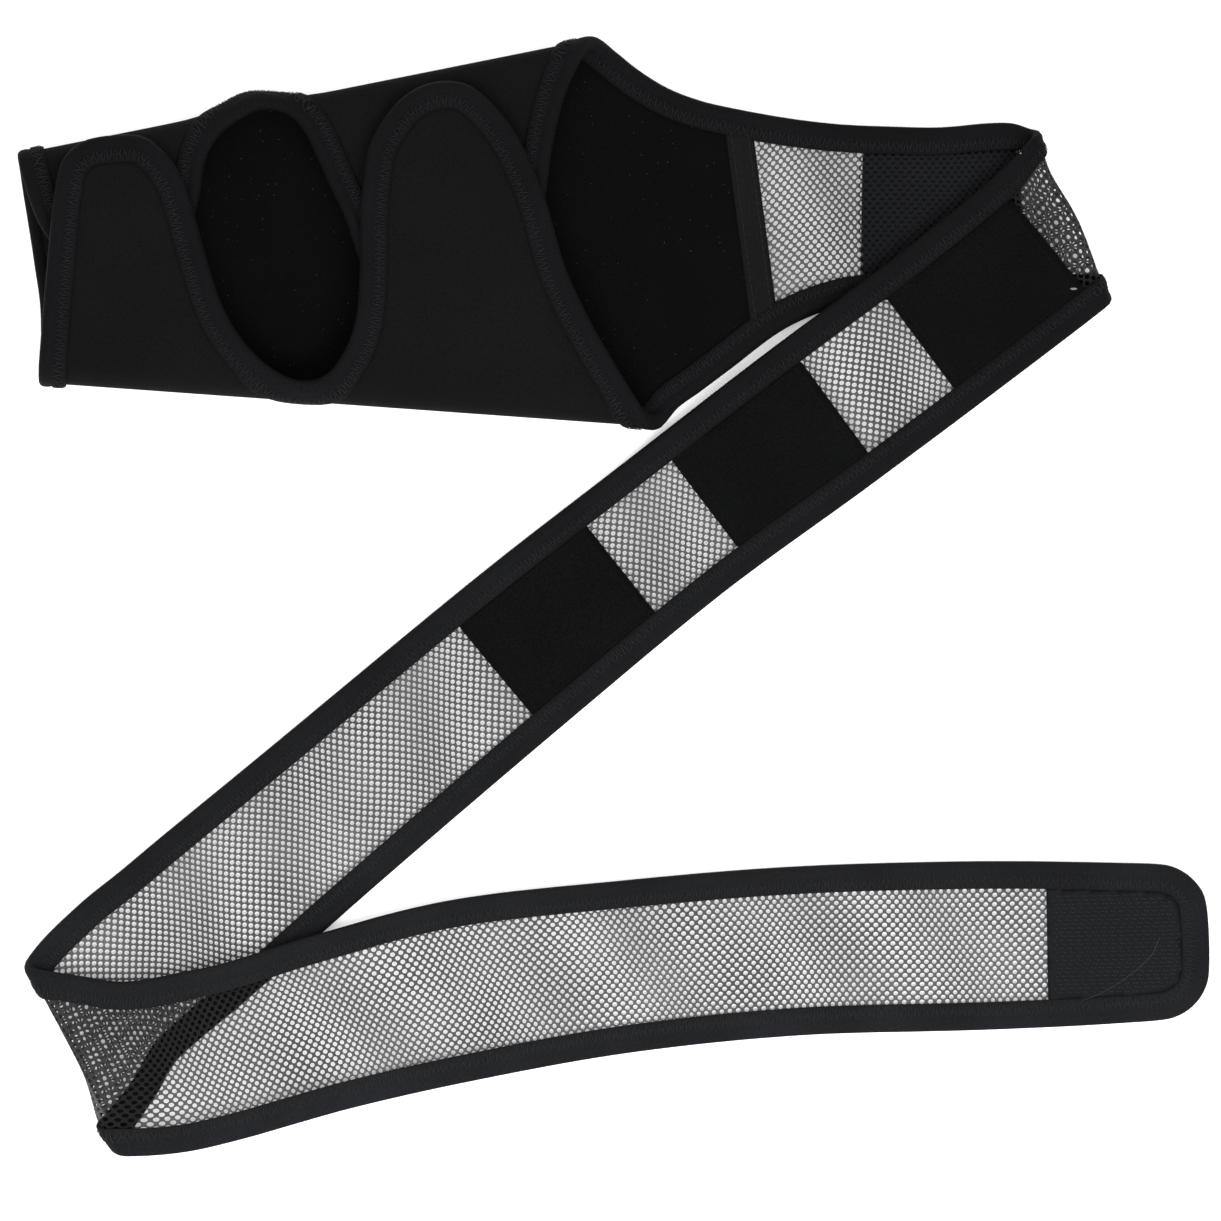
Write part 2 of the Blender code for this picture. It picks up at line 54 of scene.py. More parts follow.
# %% [markdown]
# ## Sizes
# Lengths are in metres. The sleeve is a trapezium between its top fold and its low fold. The
# strap's middle line is straight when flat, and both of its folds cross it. A neoprene edge is
# 3 mm thick inside 1 mm tape, and the mesh about 1 mm, so the tape gets thinner after the seam.

# %% Sizes
SLEEVE_LENGTH, SLEEVE_WIDE, SLEEVE_NARROW, LOW_FOLD_RISE = 0.2205, 0.1393, 0.0793, 0.0158
NEOPRENE, FRONT_BEND, FRONT_CROWN, APRON = 0.003, 0.0045, 0.003, 0.0402
STRAP_WIDTH, STRAP_MESH, STRAP_BEND = 0.0592, 0.0012, 0.0036
RUN_1, RUN_2, RUN_3 = 0.1053, 0.4613, 0.3990
HEADING_1, HEADING_2, HEADING_3 = (math.radians(a) for a in (-1.0, -140.0, 16.4))
AXIS_HEIGHT, TIP_RADIUS, SETTLE = 0.561, 0.0180, 0.085
TAPE_WALL, TAPE_WIDTH, GAP = 0.001, 0.0098, 0.0003
SEAM_SLANT, PATCH_THICK, PATCH_LENGTH, PATCH_PITCH = 0.15, 0.001, 0.0565, 0.0935
FIRST_WINDOW, HOOK_LENGTH = 0.0346, 0.0448
FLAP_BEND = FRONT_BEND + NEOPRENE / 2 + GAP + TAPE_WALL + GAP / 2
TIP_AT = RUN_2 + RUN_3
PLAN_TO_FRAME = np.array([-0.2085, 0.0592])  # the CAD stands over the middle of its box

# Edges of the sleeve as they lie: share along it, share from the low fold to the top fold
EDGES = {
    "upper_apron": ("back", [
        (1.130, 0.773), (1.083, 0.800), (1.032, 0.842), (0.985, 0.900), (0.952, 0.952)]),
    "front_edge": ("front", [
        (0.884, 0.918), (0.870, 0.866), (0.859, 0.805), (0.848, 0.719), (0.840, 0.621),
        (0.829, 0.519), (0.800, 0.400), (0.745, 0.295), (0.660, 0.261), (0.595, 0.300),
        (0.553, 0.410)]),
    "knee_notch": ("front", [
        (0.521, 0.587), (0.500, 0.678), (0.476, 0.793), (0.457, 0.877), (0.433, 0.932),
        (0.400, 0.948), (0.363, 0.934), (0.329, 0.915), (0.308, 0.872), (0.298, 0.808)]),
    "small_lobe": ("front", [
        (0.294, 0.741), (0.286, 0.657), (0.270, 0.561), (0.238, 0.482), (0.190, 0.446),
        (0.130, 0.462), (0.083, 0.526), (0.048, 0.627), (0.025, 0.763)]),
    "ankle_end": ("back", [(0.008, 0.850), (0.016, 0.710), (0.027, 0.511), (0.037, 0.290)]),
    "small_flap": ("flap", [
        (0.049, 0.400), (0.056, 0.612), (0.063, 0.791), (0.076, 0.928), (0.105, 0.988),
        (0.156, 0.991), (0.206, 0.959), (0.241, 0.877), (0.265, 0.787), (0.278, 0.702),
        (0.292, 0.586), (0.311, 0.432), (0.332, 0.300), (0.365, 0.185)]),
    "gusset": ("flap", [(0.410, 0.099), (0.454, 0.067), (0.492, 0.091), (0.522, 0.173)]),
    "large_flap": ("flap", [
        (0.538, 0.261), (0.545, 0.400), (0.546, 0.583), (0.551, 0.701), (0.562, 0.810),
        (0.610, 0.929), (0.660, 0.960), (0.716, 0.934), (0.779, 0.811), (0.830, 0.628),
        (0.870, 0.403), (0.900, 0.291), (0.935, 0.187)]),
    "lower_apron": ("back", [(1.017, 0.010), (1.043, 0.045), (1.083, 0.094), (1.130, 0.150)]),
}

# Strap: run, share of the run, middle and half width as shares of its width
STRAP_ROWS = (
    (1, 0.00, -0.148, 0.680), (1, 0.10, -0.096, 0.610), (1, 0.20, -0.066, 0.560),
    (1, 0.34, -0.038, 0.521), (1, 0.60, -0.025, 0.507), (1, 0.86, -0.003, 0.529),
    (2, 0.02, -0.025, 0.512), (2, 0.14, 0.000, 0.497), (2, 0.27, 0.058, 0.498),
    (2, 0.40, 0.113, 0.484), (2, 0.54, 0.139, 0.500), (2, 0.75, 0.139, 0.514),
    (2, 0.90, 0.127, 0.535), (2, 0.97, 0.105, 0.535),
    (3, 0.05, -0.140, 0.515), (3, 0.11, -0.222, 0.507), (3, 0.24, -0.226, 0.523),
    (3, 0.36, -0.265, 0.539), (3, 0.50, -0.400, 0.510), (3, 0.65, -0.600, 0.500),
    (3, 0.80, -0.865, 0.500), (3, 0.90, -1.050, 0.482), (3, 1.00, -1.232, 0.448))

# %% [markdown]
# ## Folding
# A fold bends the cloth half a turn round a line, up or down. Past it, the cloth lies back over
# (or under) itself at twice the bend radius. `place` bends a point round all four folds, lifts
# the front layers a little over the leg, and lets a raised run come down to the table. Last, some
# small pulls show how real cloth gives: the stiff tape of the knee notch stands out over the top
# fold, the mesh is drawn in at the strap's first fold and let out at the low end of its second.

# %% Folding
def unit(angle):
    """A direction of length 1."""
    return np.array([math.cos(angle), math.sin(angle)])


def ramp(value):
    """A soft step from 0 to 1."""
    value = np.clip(value, 0.0, 1.0)
    return value * value * (3 - 2 * value)


class Fold:
    """A line that the cloth is bent round, half a turn, up (side 1) or down (side -1)."""

    def __init__(self, origin, outward, radius, side):
        self.origin, self.outward, self.radius, self.side = origin, outward, radius, side

    def past(self, points):
        """How far flat points lie past the line."""
        return (points[..., :2] - self.origin) @ self.outward

    def bend(self, points):
        """Where points go when the cloth is bent here."""
        past, height = self.past(points), self.side * points[:, 2]
        turn = np.clip(past / self.radius, 0.0, math.pi)
        over = past > math.pi * self.radius
        out = np.where(over, math.pi * self.radius - past, (self.radius - height) * np.sin(turn))
        up = np.where(over, 2 * self.radius - height,
                      self.radius - (self.radius - height) * np.cos(turn))
        bent = points.copy()
        moved = past > 0
        bent[moved, :2] += (out - past)[moved, None] * self.outward
        bent[moved, 2] = self.side * up[moved]
        return bent

    def unfold(self, spot, over):
        """Flat place of a spot that is seen folded, over the fold or still before it."""
        past = float(self.past(spot))
        if past > 0:
            turn = math.asin(min(past / self.radius, 1.0))
            flat = self.radius * (math.pi - turn if over else turn)
        else:
            flat = math.pi * self.radius - past if over else past
        return spot + self.outward * (flat - past)


top_out = unit(math.atan2(SLEEVE_WIDE - SLEEVE_NARROW - LOW_FOLD_RISE, SLEEVE_LENGTH) + math.pi / 2)
low_out = unit(math.atan2(-LOW_FOLD_RISE, SLEEVE_LENGTH) - math.pi / 2)
TOP_FOLD = Fold(np.array([SLEEVE_LENGTH, SLEEVE_WIDE]) - top_out * (FRONT_BEND + NEOPRENE / 2),
                top_out, FRONT_BEND, 1)
LOW_FOLD = Fold(np.array([SLEEVE_LENGTH, 0.0]) - low_out * (FLAP_BEND + NEOPRENE / 2),
                low_out, FLAP_BEND, 1)
AXIS, ACROSS = unit(HEADING_1), unit(HEADING_1 + math.pi / 2)
FOLD_1_AT = np.array([SLEEVE_LENGTH, AXIS_HEIGHT * SLEEVE_WIDE]) + AXIS * (APRON + RUN_1)
FOLD_1_ANGLE = (HEADING_1 + HEADING_2) / 2
FOLD_2_ANGLE = (HEADING_2 + HEADING_3) / 2
FOLD_1 = Fold(FOLD_1_AT, unit(FOLD_1_ANGLE + math.pi / 2), STRAP_BEND, 1)
FOLD_2 = Fold(FOLD_1_AT + AXIS * RUN_2, unit(2 * FOLD_1_ANGLE - FOLD_2_ANGLE + math.pi / 2),
              STRAP_BEND, -1)
FOLDS = (TOP_FOLD, LOW_FOLD, FOLD_2, FOLD_1)
RUN_2_MIDDLE = FOLD_1.bend(np.array([[*(FOLD_1_AT + AXIS * RUN_2 / 2), 0.0]]))[0, :2]
RUN_2_SIDE = unit(HEADING_2 + math.pi / 2)


def sleeve_sides(along):
    """Y of the low fold and of the top fold, at shares along the sleeve."""
    low = LOW_FOLD_RISE * (1 - along)
    return low, (LOW_FOLD_RISE + SLEEVE_NARROW) * (1 - along) + SLEEVE_WIDE * along


def sleeve_spot(along, across):
    """A spot of the lying sleeve, at shares along it and across it."""
    low, high = sleeve_sides(along)
    return np.array([along * SLEEVE_LENGTH, low + across * (high - low)])


# Spot, reach and push of each pull: the knee notch, the first fold near its upper end and at that
# end's corner, the second fold's low corner, and the tape that crosses above it
PULLS = (
    (sleeve_spot(0.372, 1.0), 0.0125, top_out * 0.0045),
    (FOLD_1_AT + ACROSS * 0.016, 0.014, AXIS * -0.0045),
    (np.array([0.3591, 0.1061]), 0.008, np.array([-0.0020, -0.0025])),
    (np.array([0.0304, -0.2477]), 0.015, np.array([-0.0050, 0.0008])),
    (np.array([0.0532, -0.1952]), 0.016, np.array([0.0, 0.0020])))


def sheet_gap(flat):
    """Half the slot in the tape: half the cloth, which thins past the seam, and a gap."""
    station = (flat[:, :2] - FOLD_1_AT) @ AXIS
    thin = ramp((station + RUN_1 - TAPE_WALL) / (RUN_1 / 3))
    return GAP + (NEOPRENE + (STRAP_MESH - NEOPRENE) * thin) / 2


def crown(spot):
    """How far the front layers stand up over the leg."""
    along = spot[:, 0] / SLEEVE_LENGTH
    low, high = sleeve_sides(along)
    across = np.clip(2 * (spot[:, 1] - low) / (high - low) - 1, -1, 1)
    ends = 1 - ramp((along - 0.8) / 0.3)
    return FRONT_CROWN * (1 - across * across) * ends * ramp(spot[:, 2] / (2 * FRONT_BEND))


def place(flat):
    """Carry flat points (x, y, height) round the folds and into the frame."""
    flat = np.asarray(flat, float)
    spot = flat
    for fold in FOLDS:
        spot = fold.bend(spot)
    height = spot[:, 2] + crown(spot) + sheet_gap(flat) + TAPE_WALL
    below_run_1 = -(spot[:, :2] - FOLD_1_AT) @ ACROSS - 0.53 * STRAP_WIDTH
    beside_run_2 = (spot[:, :2] - RUN_2_MIDDLE) @ RUN_2_SIDE - 0.42 * STRAP_WIDTH
    for fold, clear in ((FOLD_1, below_run_1), (FOLD_2, beside_run_2)):
        loose = ramp((fold.past(flat) - math.pi * STRAP_BEND) / SETTLE)
        height = height - 2 * STRAP_BEND * loose * ramp(clear / SETTLE)
    across = spot[:, :2].copy()
    for near, reach, push in PULLS:
        far = np.linalg.norm(spot[:, :2] - near, axis=1) / reach
        across += push * np.exp(-far * far)[:, None]
    return np.column_stack([across + PLAN_TO_FRAME, height])


print("folds:", len(FOLDS), "pulls:", len(PULLS))

# %% [markdown]
# ## The cut edge
# The strap's two edges come from its table, and the sleeve's from shares read off the lying
# brace and unfolded. One smooth closed curve runs through all of them. Its points are 2 mm
# apart, so that tape and stitches bend round the 4 mm folds without corners.

# %% The cut edge
EDGE_STEP, FREE_LENGTH = 0.002, 0.009  # the curve is free beside the seam and beside the tip
starts = {1: (-RUN_1, RUN_1), 2: (0.0, RUN_2), 3: (RUN_2, RUN_3)}
STATIONS = np.array([
    (starts[run][0] + share * starts[run][1], middle * STRAP_WIDTH, half * STRAP_WIDTH)
    for run, share, middle, half in STRAP_ROWS])


def read_row(at, column):
    """A column of STATIONS at any distances, on a smooth curve through its rows."""
    x, y = STATIONS[:, 0], STATIONS[:, column]
    i = np.clip(np.searchsorted(x, at) - 1, 0, len(x) - 2)
    order = np.arange(len(x))
    before, after = np.maximum(order - 1, 0), np.minimum(order + 1, len(x) - 1)
    slope = (y[after] - y[before]) / (x[after] - x[before])
    span = x[i + 1] - x[i]
    t = (at - x[i]) / span
    return (y[i] * (1 + 2 * t) * (1 - t) ** 2 + slope[i] * span * t * (1 - t) ** 2
            + y[i + 1] * t * t * (3 - 2 * t) - slope[i + 1] * span * t * t * (1 - t))


def strap_point(at, offset):
    """Flat points at distances along the strap and offsets square to its middle line."""
    at, offset = np.broadcast_arrays(np.asarray(at, float), np.asarray(offset, float))
    step = 0.012
    lean = np.arctan((read_row(at + step, 1) - read_row(at - step, 1)) / (2 * step))
    lean = np.where(at > 0, lean, 0.0)
    along = at - offset * np.sin(lean)
    across = read_row(at, 1) + offset * np.cos(lean)
    return FOLD_1_AT + along[..., None] * AXIS + across[..., None] * ACROSS


def flat_edge(name):
    """An edge of the sleeve, unfolded from the layer that it lies in."""
    layer, rows = EDGES[name]
    spots = [sleeve_spot(*row) for row in rows]
    if layer == "front":
        return [TOP_FOLD.unfold(spot, True) for spot in spots]
    if layer == "flap":
        return [LOW_FOLD.unfold(spot, True) for spot in spots]
    return [LOW_FOLD.unfold(TOP_FOLD.unfold(spot, False), False) for spot in spots]


def tip_arc(side):
    """One rounded corner of the tip, from its end to its side."""
    at = TIP_AT - TIP_RADIUS
    half = float(read_row(at, 2))
    turns = [math.pi / 2 * k / 5 for k in range(6)]
    return [strap_point(at + TIP_RADIUS * math.cos(turn),
                        side * (half - TIP_RADIUS + TIP_RADIUS * math.sin(turn))) for turn in turns]


def resample(points, spacing, closed=True):
    """The same line with evenly spaced points."""
    points = np.asarray(points)
    if closed:
        points = np.vstack([points, points[:1]])
    run = np.concatenate([[0], np.cumsum(np.linalg.norm(np.diff(points, axis=0), axis=1))])
    count = max(2, round(run[-1] / spacing))
    at = np.linspace(0, run[-1], count + 1)[: count if closed else count + 1]
    return np.column_stack([np.interp(at, run, points[:, k]) for k in range(points.shape[1])])


def smooth_closed(knots, parts=8):
    """A centripetal curve through a closed list of points."""
    knots, fine = np.asarray(knots), []
    for i in range(len(knots)):
        p = [knots[(i + k) % len(knots)] for k in (-1, 0, 1, 2)]
        g = np.cumsum([0] + [math.sqrt(np.linalg.norm(b - a)) for a, b in zip(p, p[1:])])
        for at in g[1] + (g[2] - g[1]) * np.arange(parts) / parts:
            def mix(a, b, low, high):
                return a * ((high - at) / (high - low)) + b * ((at - low) / (high - low))
            a = [mix(p[k], p[k + 1], g[k], g[k + 1]) for k in range(3)]
            fine.append(mix(mix(a[0], a[1], g[0], g[2]), mix(a[1], a[2], g[1], g[3]), g[1], g[2]))
    return np.array(fine)


def inward(points, spread=3):
    """Directions in from a closed anticlockwise edge, evened out over near points."""
    heading = np.roll(points, -1, axis=0) - np.roll(points, 1, axis=0)
    heading = sum(np.roll(heading, k, axis=0) for k in range(-spread, spread + 1))
    normal = np.column_stack([-heading[:, 1], heading[:, 0]])
    return normal / np.linalg.norm(normal, axis=1)[:, None]


ats = np.linspace(-RUN_1 + FREE_LENGTH, TIP_AT - TIP_RADIUS - FREE_LENGTH, 54)
knots = [*strap_point(ats, -read_row(ats, 2)), *reversed(tip_arc(-1)), *tip_arc(1)[1:],
         *reversed(strap_point(ats, read_row(ats, 2)))]
for name in EDGES:
    knots += flat_edge(name)
EDGE = resample(smooth_closed(knots), EDGE_STEP)
EDGE_IN = inward(EDGE)
print("cut edge:", round(len(EDGE) * EDGE_STEP, 2), "m of tape in", len(EDGE), "points")


def seam_point(offset, back=0.0):
    """A flat point of the slanted seam, or of a line that far back from it."""
    station = -RUN_1 - SEAM_SLANT * offset - back * math.hypot(1, SEAM_SLANT)
    return FOLD_1_AT + AXIS * station + ACROSS * offset


SEAM_OUT = (AXIS + ACROSS * SEAM_SLANT) / math.hypot(1, SEAM_SLANT)


def inside(points, edge):
    """Which flat points lie inside a closed edge."""
    a, b = edge, np.roll(edge, -1, axis=0)
    x, y = points[:, 0:1], points[:, 1:2]
    crosses = (a[:, 1] > y) != (b[:, 1] > y)
    with np.errstate(divide="ignore", invalid="ignore"):
        at = (b[:, 0] - a[:, 0]) * (y - a[:, 1]) / (b[:, 1] - a[:, 1]) + a[:, 0]
    return (crosses & (x < at)).sum(axis=1) % 2 == 1


def edge_distance(points, edge):
    """Distance from flat points to the nearest point of an edge."""
    near = np.full(len(points), np.inf)
    for part in np.array_split(edge, max(1, len(edge) // 40)):
        gap = np.linalg.norm(points[:, None, :2] - part[None], axis=2).min(axis=1)
        near = np.minimum(near, gap)
    return near


# %% [markdown]
# ## Cloth materials
# Everything is black cloth, and only the surface tells the parts apart: matt jersey on the
# neoprene, a soft pile on the lining and the loop patches, ribbed tape, hard little hooks. Each
# material has a mottle some centimetres wide, a fine grain for the knit or weave, and a bump.
# Black cloth mirrors very little, so the specular level is kept low.

# %% Cloth materials
# Painted light: tape and thread grow lighter from y 0.08 to y -0.17, the strap's far end
LIT_END_Y, DIM_END_Y = -0.17, 0.08


def cloth(name, colour, rough=0.9, specular=0.12, grain=900.0, grain_mix=0.35, bump=0.25,
          mottle=0.12, ribs=0.0, painted_light_gain=1.0, thin=1.0, coords="Object"):
    """A matt cloth. Grain and ribs are per metre, and a gain over 1 paints light that grows towards the
    strap's far end.

    Thin yarn keeps only this share of its colour where no light comes through it from below."""
    material = bpy.data.materials.new(name)
    material.use_nodes = True
    nodes, links = material.node_tree.nodes, material.node_tree.links
    shader = nodes["Principled BSDF"]
    texture = nodes.new("ShaderNodeTexCoord")
    place_in = texture.outputs[coords]

    def noise(scale, detail):
        node = nodes.new("ShaderNodeTexNoise")
        node.inputs["Scale"].default_value = scale
        node.inputs["Detail"].default_value = detail
        links.new(place_in, node.inputs["Vector"])
        return node.outputs["Fac"]

    def scaled(value, low, high, start=0.3, end=0.7):
        node = nodes.new("ShaderNodeMapRange")
        node.inputs["From Min"].default_value = start
        node.inputs["From Max"].default_value = end
        node.inputs["To Min"].default_value = low
        node.inputs["To Max"].default_value = high
        links.new(value, node.inputs["Value"])
        return node.outputs["Result"]

    def times(a, b):
        node = nodes.new("ShaderNodeMath")
        node.operation = "MULTIPLY"
        links.new(a, node.inputs[0])
        links.new(b, node.inputs[1])
        return node.outputs["Value"]

    fine = noise(grain, 3.0)
    shade = times(scaled(fine, 1 - grain_mix, 1 + grain_mix),
                  scaled(noise(28.0, 2.0), 1 - mottle, 1 + mottle))
    relief = fine
    # painted light, lighter towards the strap's far end
    if painted_light_gain > 1:
        apart = nodes.new("ShaderNodeSeparateXYZ")
        links.new(texture.outputs["Object"], apart.inputs["Vector"])
        shade = times(shade, scaled(apart.outputs["Y"], painted_light_gain, 1.0, LIT_END_Y, DIM_END_Y))
    if thin < 1:
        glow = nodes.new("ShaderNodeAttribute")
        glow.attribute_name = "light_below"
        shade = times(shade, scaled(glow.outputs["Fac"], thin, 1.0, 0.0, 1.0))
    if ribs:
        wave = nodes.new("ShaderNodeTexWave")
        wave.inputs["Scale"].default_value = ribs / math.tau
        wave.inputs["Distortion"].default_value = 0.6
        links.new(place_in, wave.inputs["Vector"])
        shade = times(shade, scaled(wave.outputs["Fac"], 0.88, 1.12))
        relief = times(fine, scaled(wave.outputs["Fac"], 0.5, 1.2))
    tint = nodes.new("ShaderNodeVectorMath")
    tint.operation = "SCALE"
    tint.inputs[0].default_value = colour
    links.new(shade, tint.inputs["Scale"])
    links.new(tint.outputs["Vector"], shader.inputs["Base Color"])
    dent = nodes.new("ShaderNodeBump")
    dent.inputs["Strength"].default_value = bump
    dent.inputs["Distance"].default_value = 0.0004
    links.new(relief, dent.inputs["Height"])
    links.new(dent.outputs["Normal"], shader.inputs["Normal"])
    shader.inputs["Roughness"].default_value = rough
    shader.inputs["Specular IOR Level"].default_value = specular
    return material


JERSEY = cloth("neoprene_jersey", (0.0022, 0.0023, 0.0024), specular=0.06, grain=1500.0, bump=0.2)
LINING = cloth("neoprene_lining", (0.0018, 0.0018, 0.0019), specular=0.02, grain=2600.0, bump=0.5)
# The tape and the thread get painted light towards the strap's far end.
TAPE = cloth("binding_tape", (0.0019, 0.0020, 0.0024), specular=0.06, rough=0.8, grain=1200.0,
             mottle=0.22, ribs=2600.0, coords="UV", painted_light_gain=2.8)
SEAM = cloth("seam_tape", (0.0022, 0.0022, 0.0025), specular=0.10, ribs=2600.0, coords="UV")
THREAD = cloth("black_thread", (0.0080, 0.0083, 0.0094), specular=0.15, grain=4000.0, painted_light_gain=1.5)
# Painted shade: a darker copy of the thread, for the stitches that lie down in the patches' pile.
THREAD_PAINTED_SHADE = cloth("thread_painted_shade", (0.0038, 0.0040, 0.0043), specular=0.05, grain=4000.0)
# The yarn's strong mottle paints soft bands of light and shade, as where loose mesh lifts off the
# table.
NET = cloth("air_mesh", (0.0520, 0.0523, 0.0545), rough=0.8, specular=0.10, grain=3000.0, mottle=0.3,
            thin=0.08)
# Painted shade: a darker copy of the mesh yarn, for the mesh over the first patch, where no table light
# comes through it.
NET_PAINTED_SHADE = cloth("mesh_painted_shade", (0.0042, 0.0044, 0.0050), specular=0.08, grain=3000.0)
LOOPS = cloth("loop_pile", (0.0024, 0.0025, 0.0026), specular=0.02, grain=2200.0, grain_mix=0.55,
              bump=0.8)
BACKING = cloth("patch_backing", (0.0105, 0.0110, 0.0126), grain=1800.0)
HOOKS = cloth("hook_tape", (0.0018, 0.0021, 0.0030), rough=0.7, specular=0.09, grain=1400.0)
NYLON = cloth("hook_nylon", (0.0150, 0.0165, 0.0200), rough=0.6, specular=0.15, grain=1800.0)
LINT = cloth("pale_lint", (0.085, 0.088, 0.095), grain=3000.0)
HAIR = cloth("caught_hair", (0.040, 0.041, 0.045), grain=3000.0)
FLECK = cloth("white_fleck", (0.13, 0.13, 0.14), grain=3000.0, grain_mix=0.1)
PAD = cloth("fastening_pad", (0.0040, 0.0040, 0.0043), grain=2000.0)
print("materials:", len(bpy.data.materials))

# %% [markdown]
# ## Solid sheets
# Neoprene, patches and hook tape are flat shapes with a thickness. Each is one flat face, cut
# into small cells so that it can bend, doubled into a top and an under side and closed round its
# rim. Only then is it folded. Its texture coordinates stay flat, as the knit was before folding.

# %% Solid sheets
FOLD_CUTS, PANEL_CELL = 13, 0.006


def add_object(name, data):
    """An object of its own in the scene."""
    obj = bpy.data.objects.new(name, data)
    bpy.context.scene.collection.objects.link(obj)
    return obj


def add_mesh(name, points, faces, materials, uv=None, face_materials=None):
    """A smooth mesh object with its materials and texture coordinates."""
    mesh = bpy.data.meshes.new(name)
    mesh.from_pydata(points.tolist(), [], faces)
    for material in materials:
        mesh.materials.append(material)
    if face_materials is not None:
        mesh.polygons.foreach_set("material_index", np.asarray(face_materials, np.int32))
    if uv is not None:
        layer = mesh.uv_layers.new(name="UVMap")
        corner = np.zeros(len(mesh.loops), np.int32)
        mesh.loops.foreach_get("vertex_index", corner)
        layer.data.foreach_set("uv", np.asarray(uv, np.float32)[corner].ravel())
    mesh.shade_smooth()
    return add_object(name, mesh)


def flat_cells(edge, cell, seam=None):
    """Points and faces of a flat shape cut into cells, and cut finely across each fold."""
    bm = bmesh.new()
    bm.faces.new([bm.verts.new((x, y, 0.0)) for x, y in edge])

    def cut(at, out, drop=None):
        bmesh.ops.bisect_plane(
            bm, geom=bm.verts[:] + bm.edges[:] + bm.faces[:], dist=1e-7,
            plane_co=(at[0], at[1], 0.0), plane_no=(out[0], out[1], 0.0),
            clear_outer=drop == "outside", clear_inner=drop == "inside")

    if seam:
        cut(*seam)
    for out in (AXIS, ACROSS):
        reach = np.array([v.co.xy for v in bm.verts]) @ out
        for distance in np.arange(reach.min() + cell, reach.max(), cell):
            cut(out * distance, out)
    for fold in FOLDS:
        reach = fold.past(np.array([v.co.xy for v in bm.verts]))
        for past in np.linspace(0, math.pi * fold.radius, FOLD_CUTS):
            if reach.min() < past < reach.max():
                cut(fold.origin + fold.outward * past, fold.outward)
    bmesh.ops.triangulate(bm, faces=[f for f in bm.faces if len(f.verts) > 4])
    bm.verts.ensure_lookup_table()
    bm.verts.index_update()
    points = np.array([v.co.xy for v in bm.verts])
    bm.normal_update()
    up = 1 if sum(f.normal.z for f in bm.faces) > 0 else -1
    faces = [[v.index for v in f.verts][::up] for f in bm.faces]
    rim = [[loop.vert.index, loop.link_loop_next.vert.index][::up]
           for edge in bm.edges if edge.is_boundary for loop in edge.link_loops]
    bm.free()
    return points, faces, rim


def solid(name, flat, low, high, materials):
    """Close flat cells into a solid between two heights, which may differ point by point."""
    points, faces, rim = flat
    count = len(points)
    heights = [np.broadcast_to(h, count) for h in (high, low)]
    both = np.vstack([np.column_stack([points, h]) for h in heights])
    under = [[v + count for v in reversed(face)] for face in faces]
    walls = [[b, a, a + count, b + count] for a, b in rim]
    which = [0] * len(faces) + [len(materials) - 1] * (len(faces) + len(rim))
    return add_mesh(name, place(both), faces + under + walls, materials,
                    uv=np.vstack([points, points]), face_materials=which)


panel_edge = EDGE + EDGE_IN * (TAPE_WALL + GAP)
panel_seam = (seam_point(0.0, TAPE_WALL + GAP), SEAM_OUT, "outside")
flat_panel = flat_cells(panel_edge, PANEL_CELL, panel_seam)
sleeve = solid("sleeve", flat_panel, -NEOPRENE / 2, NEOPRENE / 2, [LINING, JERSEY])
print("sleeve:", len(sleeve.data.polygons), "faces")

# %% [markdown]
# ## Tape over every edge
# The tape is folded in half over the cloth. Its outer half is smooth and round, where it hugs
# the edge. Its stitching pulls a groove about 4 mm in, and past it the tape lies flat. One
# section, swept along the cut edge, makes all of it. A second section along the slanted seam
# makes the tape that joins the mesh to the neoprene.

# %% Tape over every edge
# Depth in from the edge as a share of the tape's width, height as a share of its outer height
TAPE_TOP = (
    (0.985, 0.80), (0.94, 0.93), (0.72, 0.95), (0.52, 0.94), (0.465, 0.88), (0.41, 0.96),
    (0.30, 1.0), (0.17, 0.97), (0.075, 0.80), (0.02, 0.50), (0.0, 0.0))
SEAM_RINGS = 40


def tape_section(outer, inner):
    """Rows of (depth, height) round the tape, for outer and inner half thicknesses."""
    top = [(depth * TAPE_WIDTH, share * outer) for depth, share in TAPE_TOP]
    low = [(depth, -height) for depth, height in reversed(top[:-1])]
    slot = [(0.99 * TAPE_WIDTH, -inner), (TAPE_WALL, -inner), (TAPE_WALL, inner),
            (0.99 * TAPE_WIDTH, inner)]
    return top + low + slot


def tube_faces(rings, count, closed):
    """Faces between rings of as many points each, wound outwards."""
    faces = []
    for i in range(rings if closed else rings - 1):
        a, b = i * count, (i + 1) % rings * count
        faces += [[a + k, a + (k + 1) % count, b + (k + 1) % count, b + k] for k in range(count)]
    if not closed:
        faces += [list(range(count))[::-1], [(rings - 1) * count + k for k in range(count)]]
    return faces


def outward(obj):
    """Turn a closed mesh's faces outwards."""
    bm = bmesh.new()
    bm.from_mesh(obj.data)
    if bm.calc_volume(signed=True) < 0:
        bmesh.ops.reverse_faces(bm, faces=bm.faces)
    bm.to_mesh(obj.data)
    bm.free()
    return obj


inner = sheet_gap(EDGE)
rows, uv = [], []
for k, (depth, height) in enumerate(tape_section(inner + TAPE_WALL, inner)):
    rows.append(np.column_stack([EDGE + EDGE_IN * depth, np.broadcast_to(height, len(EDGE))]))
    uv.append(np.column_stack([np.arange(len(EDGE)) * EDGE_STEP, np.full(len(EDGE), k * 0.001)]))
count = len(rows)
rows = np.stack(rows, axis=1).reshape(-1, 3)
uv = np.stack(uv, axis=1).reshape(-1, 2)
binding = outward(add_mesh("binding", place(rows), tube_faces(len(EDGE), count, True), [TAPE], uv))
print("binding:", len(binding.data.polygons), "faces")


